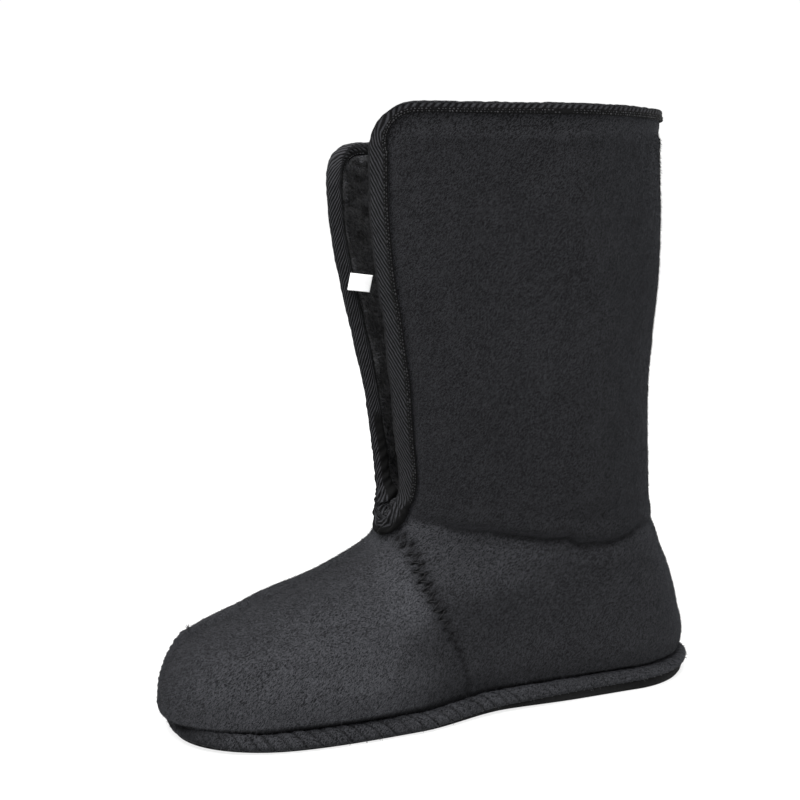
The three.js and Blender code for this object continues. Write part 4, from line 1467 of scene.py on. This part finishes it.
@dataclass
class Sole:
    """Felted sole with a pile insole."""

    step: float = 1.3

    def build(self) -> None:
        """Builds the sole from rings round its edge and ladders across its middle."""
        around = np.linspace(0, FORM.sole_length, int(FORM.sole_length / self.step))
        kit = MeshKit("sole_felt")
        (left, left_dark), (right, right_dark) = (self._rings(side, around) for side in Side)
        ring = np.concatenate([left, right[:, -2:0:-1]], axis=1)
        dark = np.concatenate([left_dark, right_dark[:, -2:0:-1]], axis=1)
        count, columns = ring.shape[:2]
        kit.add(ring, tube_faces(count, columns)[: (count - 1) * columns], worn_dark=dark)
        half = len(around) - 1
        k = np.arange(half)
        mirror = (columns - k) % columns
        following = columns - k - 1
        kit.join(np.stack([k, mirror, following, k + 1], -1)[1:])
        kit.join(np.array([[0, columns - 1, 1]]))
        top = (count - 1) * columns
        kit.join(top + np.stack([k, k + 1, following, mirror], -1)[1:])
        kit.join(top + np.array([[0, 1, columns - 1]]))
        sole = kit.object(FeltFinish().material())
        sole.data.materials.append(PileFinish("insole_pile").material())
        inside = [min(face.vertices) // columns >= self.insole_row for face in sole.data.polygons]
        sole.data.polygons.foreach_set("material_index", inside)
        carry(sole, "sole_textile", "sole")

    def _rings(self, side: Side, around: Array) -> tuple[Array, Array]:
        """Rings of one side from the middle of the underside, round the flange, to the insole, and the painted shade
        on the rings tucked under the flange.
        """

        def pad(inset: float, thickness: float) -> Array:
            """Ring on the underside or the insole."""
            points = FORM.edge(side.value, around, inset, 0)
            points[:, 2] = FORM.floor(points[:, 0]) + thickness
            return points

        def wall(inset: float, share: float) -> Array:
            """Ring on the sole's side, between the floor and the flange."""
            points = FORM.edge(side.value, around, inset, 0)
            low = FORM.floor(points[:, 0])
            points[:, 2] = low + (points[:, 2] - low) * share
            return points

        rings = [pad(20, 0), pad(12, 0), pad(6, 0), pad(3.4, 0), pad(2.4, 0.25), wall(1.7, 0.22), wall(1.3, 0.5),
                 wall(1.25, 0.9)]
        dark = [np.zeros(len(around))] * len(rings)
        # Rings tucked under the flange, darkened with painted shade.
        for inset, height in ((1.9, 0.6), (2.4, 2.2), (12.0, 2.75)):
            rings.append(FORM.edge(side.value, around, inset, height))
        dark += [np.ones(len(around))] * 3
        self.insole_row = len(rings) - 1
        rings += [pad(13.0, 5.4), pad(16, 6.0), pad(20, 6.0)]
        dark += [np.zeros(len(around))] * 3
        return np.array(rings), np.array(dark)


@dataclass
class EdgeTape:
    """Twill tape folded over the flaps and the collar, with its stitch lines."""

    trees: Trees
    spacing: float = 0.62
    rib_pitch: float = 2.6
    near_pitch: float = 3.0
    collar_pitch: float = 3.3
    throat_steps: int = 34
    outer_rows: int = 12
    fold_rows: int = 11
    inner_rows: int = 7
    gap: float = 0.5
    thickness: float = 0.9
    half_fold: float = 3.9

    def _stations(self) -> dict[str, Array]:
        """Addresses along the taped edge, from the throat's middle up the left side and down the right."""
        radius = FORM.THROAT_RADIUS
        turn = np.linspace(0, np.pi / 2, self.throat_steps)[:-1]
        throat = [(FORM.level_at_height(radius * (1 - math.cos(a))), radius * math.sin(a),
                   math.sin(a), -math.cos(a)) for a in turn]
        high = FORM.COLLAR_LEVEL - FORM.CORNER_RADIUS
        halves = {side: np.array(throat + self._flap(side, high)) for side in Side}
        left, right = halves[Side.LEFT], halves[Side.RIGHT]
        both = np.concatenate([left, right[-2:0:-1]])
        side = np.concatenate([np.ones(len(left)), -np.ones(len(right) - 2)])
        return {"level": both[:, 0], "around": both[:, 1], "inward": both[:, 2:4], "side": side}

    def _flap(self, side: Side, high: float) -> list[tuple[float, float, float, float]]:
        """Addresses up one flap, round its corner and along the collar to the back."""
        levels = np.linspace(FORM.slit_start, high, int((high - FORM.slit_start) / self.spacing))[:-1]
        slit = [(level, float(FORM.gap(side.value, level)), 1.0, 0.0) for level in levels]
        angles = np.linspace(0, np.pi / 2, int(FORM.CORNER_RADIUS * np.pi / 2 / self.spacing))
        corner = []
        for a in angles:
            level = FORM.COLLAR_LEVEL - FORM.CORNER_RADIUS * (1 - math.sin(a))
            inset = FORM.CORNER_RADIUS * (1 - math.cos(a))
            corner.append((level, float(FORM.gap(side.value, level)) + inset, math.cos(a), -math.sin(a)))
        start, end = corner[-1][1], float(FORM.length(FORM.COLLAR_LEVEL))
        rest = np.linspace(start, end, int((end - start) / self.spacing))[1:]
        return slit + corner + [(FORM.COLLAR_LEVEL, around, 0.0, -1.0) for around in rest]

    def _widths(self, at: dict[str, Array]) -> tuple[Array, Array]:
        """Widths of the tape's outer and inner legs at each station."""
        share = -at["inward"][:, 1]
        low = at["level"] < FORM.slit_start
        front = Profile((106, 10.2), (124, 11.8), (165, 11.6), (190, 10.2), (212, 9.6), (250, 10.2), (300, 10.2))
        front_width = front(at["level"])
        outside = front_width + (np.where(low, 8.6, 4.6) - front_width) * share
        inside = 4.6 + (np.where(low, 4.5, 5.0) - 4.6) * share
        inside = inside - np.where(at["side"] < 0, 2.4 * ease((172 - at["level"]) / 30), 0) * (1 - share)
        return outside, inside

    def _place(self, at: dict[str, Array], distance: Array, offset: Array) -> Array:
        """Points at a distance in from the edge and an offset from the outer face."""
        around, level = FORM.moved_in(at["around"], at["level"], at["inward"], distance)
        return FORM.off(at["side"], around, level, offset)

    def _section(self) -> list[tuple[float, float, float, float]]:
        """The tape's closed section.

        Returns:
            Rows of the share of the outer leg, the share of the inner leg, an added distance and the offset.
        """
        wall, near, far = FORM.WALL, self.gap, self.gap + self.thickness
        rows = [(t, 0.0, 0.0, far - 0.3 * (t > 0.97)) for t in np.linspace(1, 0, self.outer_rows)]
        half = far + wall / 2
        for a in np.linspace(0, np.pi, self.fold_rows + 2)[1:-1]:
            rows.append((0.0, 0.0, -math.sin(a) ** 0.7, half * math.cos(a) - wall / 2))
        rows += [(0.0, t, 0.0, -wall - far + 0.3 * (t > 0.97)) for t in np.linspace(0, 1, self.inner_rows)]
        rows += [(0.0, 0.97, 0.0, -wall - near), (0.0, 0.3, 0.0, -wall - near), (0.0, 0.0, -0.2, -wall),
                 (0.0, 0.0, -0.2, 0.0), (0.5, 0.0, 0.0, near), (0.97, 0.0, 0.0, near)]
        return rows

    def build(self) -> None:
        """Builds the tape and its stitches."""
        at = self._stations()
        outside, inside = self._widths(at)
        bulge = np.where(at["side"] > 0, 0.75, 1.7)
        fold_line = self._place(at, np.full(len(outside), -1.2), np.full(len(outside), -FORM.WALL / 2))
        run = running(fold_line)
        section = self._section()
        shown_rows = self.outer_rows + self.fold_rows + self.inner_rows
        lines, across, ends = [], [], []
        for k, (out_share, in_share, add, offset) in enumerate(section):
            width = outside * out_share + self.half_fold * (out_share > 0)
            width = width - (inside * in_share + self.half_fold * (in_share > 0))
            fold = add * (bulge if k < shown_rows else 1.0)
            if add < 0 and k < shown_rows:
                width = width + self.half_fold * (1 - 2 * (k - self.outer_rows + 1) / (self.fold_rows + 1))
            lines.append(self._place(at, outside * out_share + inside * in_share + fold, np.full(len(run), offset)))
            across.append(width)
            ends.append(np.where(width > 0, (1 - out_share) * outside, (1 - in_share) * inside))
        grid, width, to_end = np.array(lines), np.array(across), np.array(ends)
        ahead = np.roll(grid, -1, axis=1) - np.roll(grid, 1, axis=1)
        round_it = np.roll(grid, -1, axis=0) - np.roll(grid, 1, axis=0)
        normals = unit(np.cross(ahead, round_it))
        middle = self.outer_rows + self.fold_rows // 2
        sign = np.sign(np.sum(normals[middle] * (grid[middle] - grid.mean(axis=0)), axis=-1).mean())
        normals = normals * sign
        level, far_side = at["level"], at["side"] < 0
        shown = np.zeros(len(section))
        shown[:shown_rows] = 1
        shown[0] = shown[shown_rows - 1] = 0.3
        rise = self._lumps(grid, width, level, far_side, run)
        grid = grid + normals * (shown[:, None] * rise)[..., None]
        collar = ease((level - 286) / 9)
        pitch = np.where(far_side, self.rib_pitch, self.near_pitch)
        pitch = pitch + (self.collar_pitch - pitch) * collar
        lean = np.where(far_side, -2.4, 1.8) * (1 - 0.5 * collar)
        count = np.concatenate([[0], np.cumsum(np.diff(run) / pitch[:-1])])
        ribs = count + width * lean / pitch
        kit = MeshKit("edge_tape")
        texture = np.stack([ribs, width], -1)
        selvedge = ease((2.9 - to_end) / 0.7) * (shown[:, None] > 0)
        kit.add(grid, tube_faces(*grid.shape[:2], flip=sign > 0), selvedge=selvedge, uv=texture)
        tape = kit.object(TwillFinish().material())
        self._close_ribs(tape, grid.shape[1], float(round(count[-1] + (run[1] - run[0]) / pitch[0])))
        carry(tape, "twill_tape", "edge_binding")
        self._stitches(at, outside, inside, run)

    @staticmethod
    def _close_ribs(tape: bpy.types.Object, columns: int, turns: float) -> None:
        """Lets the count of ribs run on over the last column of faces, where the tape meets its start."""
        corners = np.empty(len(tape.data.loops), np.int32)
        tape.data.loops.foreach_get("vertex_index", corners)
        column = corners.reshape(-1, 4) % columns
        last = (column.max(axis=1) == columns - 1) & (column.min(axis=1) == 0)
        layer = tape.data.uv_layers["UVMap"].data
        values = np.empty(len(corners) * 2)
        layer.foreach_get("uv", values)
        values = values.reshape(-1, 4, 2)
        values[..., 0] += np.where(last[:, None] & (column == 0), turns, 0)
        layer.foreach_set("uv", values.ravel())

    @staticmethod
    def _lumps(grid: Array, width: Array, level: Array, far_side: Array, run: Array) -> Array:
        """How the tape ripples, twists into strands on the far flap, and bunches up at the throat."""
        noise = Noise(51)
        throat = ease((113 - level) / 9)
        ropes = ease((np.where(far_side, 150.0, 120.0) - level) / 34)
        turn = np.where(far_side, -1.0, 1.0) * width * 0.9
        strand = 0.5 + 0.5 * np.sin(2 * np.pi * (run + turn) / 5.2 + 2 * noise(grid, 9))
        ripple = 0.4 * noise(grid, 8) + 0.35 * noise(grid + 30, 19)
        small = 0.28 * noise(grid + 10, 2.4)
        bunch = (1.2 + 1.3 * strand + 1.4 * noise(grid + 60, 4.4)) * throat + 0.6 * strand * ropes
        pushed = np.where(far_side, 1.3 * hump(level - 104, 7) * ease((5 - np.abs(width)) / 4), 0)
        lobe = np.where(far_side, 0, 1.1 * hump(level - 106, 3.2) * ease((6 - np.abs(width)) / 4))
        return ripple * ease((np.abs(width) + 2) / 8) + small + bunch + pushed + lobe

    def _stitches(self, at: dict[str, Array], outside: Array, inside: Array, run: Array) -> None:
        """Sets the stitch lines on the tape's outer and inner legs."""
        rows = []
        lines = ((outside, 0.7, 1.6, 1.7), (outside, 1.7, 1.6, 1.7), (inside, 1.0, -FORM.WALL - 1.6, 2.2))
        for start, (width, inset, offset, pitch) in enumerate(lines):
            places = np.arange(0.6 + 0.4 * start, run[-1], pitch)
            index = np.minimum(np.interp(places, run, np.arange(len(run))).astype(int), len(run) - 2)
            station = {name: values[index] for name, values in at.items()}
            following = {name: values[index + 1] for name, values in at.items()}
            distance = width[index] - inset
            here = self._place(station, distance, np.full(len(index), offset))
            ahead = self._place(following, width[index + 1] - inset, np.full(len(index), offset))
            below = self._place(station, distance, np.full(len(index), offset - math.copysign(1.0, offset)))
            rows.append((here, ahead - here, here - below))
        points, along, face = (np.concatenate(part) for part in zip(*rows))
        grow = np.clip(0.95 + 0.28 * np.random.default_rng(53).normal(size=len(points)), 0.3, 1.5)
        self.trees.stitch((points, along, face, grow), "tape_stitches", ThreadFinish("tape_thread", 0.014),
                          "twill_tape", Length=0.00085, Width=0.00062, Height=0.00045)


@dataclass
class PanelSeams:
    """Fuzzy overlock yarn on the vamp seams, the back seam and the toe seam, with a few stray ends."""

    trees: Trees

    def _zigzag(self, centre: Array, across: Array, face: Array, width: float, seed: int) -> list[Array]:
        """Short strands that cross a seam from side to side.

        Args:
            centre: Points along the seam, one for each strand.
            across: Unit vectors across the seam.
            face: Unit normals of the surface.
            width: Half of the strands' reach.
            seed: Seed of their irregularity.

        Returns:
            Paths of the strands.
        """
        rng = np.random.default_rng(seed)
        along = unit(np.gradient(centre, axis=0))
        paths = []
        for k in range(len(centre)):
            reach = width * rng.uniform(0.7, 1.2)
            skew = (1 if k % 2 else -1) * rng.uniform(0.6, 1.5)
            t = np.linspace(-1, 1, 7)[:, None]
            lift = rng.uniform(0.25, 0.75)
            path = centre[k] + across[k] * reach * t + along[k] * skew * t
            path = path + face[k] * (lift * (1 - t ** 2) - 0.25) + rng.normal(0, 0.12, (7, 3))
            paths.append(path)
        return paths

    def _on_surface(self, side: Side, around: Array, level: Array, spacing: float) -> tuple[Array, Array, Array]:
        """Even points on a line over the boot, with directions across it and out of the surface."""
        line = FORM.outer(side.value, around, level)
        runs = running(line)
        places = np.arange(spacing, runs[-1], spacing)
        around_at, level_at = np.interp(places, runs, around), np.interp(places, runs, level)
        centre = FORM.outer(side.value, around_at, level_at)
        face = FORM.normal(side.value, around_at, level_at)
        across = unit(np.cross(face, np.gradient(centre, axis=0)))
        return centre, across, face

    def build(self) -> None:
        """Builds the yarn of every seam."""
        for side in Side:
            around, level = SEAMS.vamp_line()
            centre, across, face = self._on_surface(side, around, level, 2.6)
            paths = self._zigzag(centre - face * 1.0, across, face, 2.6, 61 + side.value)
            self._sweep(paths, f"vamp_seam_{side.word}", 0.00024, "seam_yarn", 0.012)
        level = np.linspace(15, 296, 500)
        centre, across, face = self._on_surface(Side.LEFT, FORM.length(level), level, 1.55)
        paths = self._zigzag(centre + face * 1.2, across, face, 1.9, 67)
        level = np.linspace(13, 46, 90)
        centre, across, face = self._on_surface(Side.RIGHT, np.full_like(level, SEAMS.toe_around), level, 1.4)
        paths += self._zigzag(centre - face * 0.3, across, face, 1.7, 69)
        self._sweep(paths, "centre_seams", 0.00026, "centre_yarn", 0.008)
        self._sweep(self._strays(), "stray_threads", 0.00009, "stray_yarn", 0.03)

    def _strays(self) -> list[Array]:
        """Loose ends: a tuft on top of the toe seam and a few threads on the back seam."""
        rng = np.random.default_rng(73)
        paths = []
        behind = ((231.0, 2, 3.0), (150.0, 2, 1.6), (62.0, 1, 1.3), (104.0, 1, 1.3), (188.0, 1, 1.3), (262.0, 1, 1.3))
        spots = [(-SEAMS.toe_around, 46.0, 9, 1.9)]
        spots += [(float(FORM.length(level)), level, count, reach) for level, count, reach in behind]
        for around, level, count, reach in spots:
            start = FORM.outer(1.0, np.array(around), np.array(level))
            face = FORM.normal(1.0, np.array([around]), np.array([level]))[0]
            for _ in range(count):
                way = unit(face + rng.normal(0, 0.5, 3))
                t = np.linspace(0, 1, 7)[:, None]
                curl = rng.normal(0, 0.5, 3) * np.sin(np.pi * t) + rng.normal(0, 0.3, 3) * np.sin(2 * np.pi * t)
                paths.append(start + face * 1.0 + way * reach * t * rng.uniform(0.7, 1.2) + curl)
        return paths

    def _sweep(self, paths: list[Array], name: str, radius: float, finish: str, level: float) -> None:
        """Sweeps a rough yarn along a seam's paths."""
        self.trees.spin(paths, name, ThreadFinish(finish, level, 0.85), "fleece", Radius=radius, Sides=4)


@dataclass
class Label:
    """Small blank tab sewn in at the inner edge of the far flap's tape."""

    width: float = 11.2
    height: float = 8.8
    thickness: float = 0.45
    level: float = 221.0
    inside_edge: float = 4.4
    sunk: float = 2.6

    def build(self) -> None:
        """Builds the tab as one thin closed sheet with a soft bend."""
        around = float(FORM.half_gap(self.level)) - self.inside_edge
        root = FORM.off(-1.0, np.array([around]), np.array([self.level]), np.array([-self.sunk]))[0]
        root = root + np.array([0.1, 0.0, -0.2])
        along = unit(np.array([-1, 0.16, -0.12]))
        up = unit(np.array([-0.2, 0, 1.0]))
        out = np.cross(up, along)
        kit = MeshKit("blank_tab")
        rows, columns = 20, 26
        v, u = np.meshgrid(np.linspace(0, 1, rows), np.linspace(0, 1, columns), indexing="ij")
        bend = 0.3 * np.sin(v * 3.0 + u * 2) - 0.5 * np.sin(u * 2.2) + 0.9 * np.clip(1 - u / 0.22, 0, 1) ** 2
        sheets = []
        for face in (0.5, -0.5):
            points = (root + u[..., None] * self.width * along + (v * self.height)[..., None] * up
                      + (bend + face * self.thickness)[..., None] * out)
            sheets.append(kit.add(points, grid_faces(rows, columns, face > 0)))
        front, back = sheets
        border = [(0, c) for c in range(columns)] + [(r, columns - 1) for r in range(1, rows)]
        border += [(rows - 1, c) for c in range(columns - 2, -1, -1)] + [(r, 0) for r in range(rows - 2, 0, -1)]
        place = np.array([r * columns + c for r, c in border])
        following = np.roll(place, -1)
        kit.join(np.stack([front + place, front + following, back + following, back + place], -1))
        tab = kit.object(LabelFinish().material())
        carry(tab, "label_white", "label")


@dataclass
class Studio:
    """White floor, soft light and the camera."""

    eye: tuple[float, float, float] = (0.22403, 0.56392, 0.25333)
    turn: float = 19.9
    tilt: float = 9.21
    lens: float = 54.3
    sensor: float = 36.0
    surround: float = 1.02
    floor_radius: float = 12.0
    box_size: float = 1.4
    box_power: float = 56.0
    box_place: tuple[float, float, float] = (0.42, 0.36, 1.7)
    box_aim: tuple[float, float, float] = (0.0, 0.0, 0.1)

    def build(self) -> None:
        """Builds the floor, the light and the camera."""
        self._floor()
        self._light()
        camera = bpy.data.cameras.new("camera")
        camera.lens, camera.sensor_width = self.lens, self.sensor
        camera.clip_start, camera.clip_end = 0.02, 60.0
        view = placed("camera", camera)
        a, p = math.radians(self.turn), math.radians(self.tilt)
        way = Vector((-math.sin(a) * math.cos(p), -math.cos(a) * math.cos(p), -math.sin(p)))
        view.location = self.eye
        view.rotation_mode = "QUATERNION"
        view.rotation_quaternion = way.to_track_quat("-Z", "Y")
        bpy.context.scene.camera = view
        bpy.context.scene.view_settings.view_transform = "Standard"

    def _floor(self) -> None:
        """A wide round floor."""
        angles = np.linspace(0, 2 * np.pi, 64, endpoint=False)
        points = [(self.floor_radius * math.cos(a), self.floor_radius * math.sin(a), 0.0) for a in angles]
        mesh = bpy.data.meshes.new("studio_floor")
        mesh.from_pydata(points, [], [tuple(range(len(points)))])
        mesh.materials.append(FloorFinish().material())
        floor = placed("studio_floor", mesh)

    def _light(self) -> None:
        """An even white surround with one broad soft box above."""
        world = bpy.data.worlds.new("studio")
        world.use_nodes = True
        bench = Bench(world.node_tree)
        world.node_tree.nodes.clear()
        glow = bench.node("ShaderNodeBackground", None, {"Color": (1, 1, 1, 1), "Strength": self.surround})
        bench.node("ShaderNodeOutputWorld", None, {"Surface": glow.outputs[0]})
        bpy.context.scene.world = world
        light = bpy.data.lights.new("top_box", "AREA")
        light.shape, light.size, light.energy = "SQUARE", self.box_size, self.box_power
        box = placed("top_box", light)
        box.location = self.box_place
        box.rotation_euler = (Vector(self.box_aim) - Vector(self.box_place)).to_track_quat("-Z", "Y").to_euler()


def main() -> None:
    """Builds the liner and the studio."""
    logging.basicConfig(level=logging.INFO, format="%(name)s: %(message)s")
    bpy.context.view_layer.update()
    trees = Trees(FibreTree(), StitchTree(), YarnTree())
    Upper(trees).build()
    Sole().build()
    Flange(trees).build()
    EdgeTape(trees).build()
    PanelSeams(trees).build()
    Label().build()
    Studio().build()


if __name__ == "__main__":
    main()
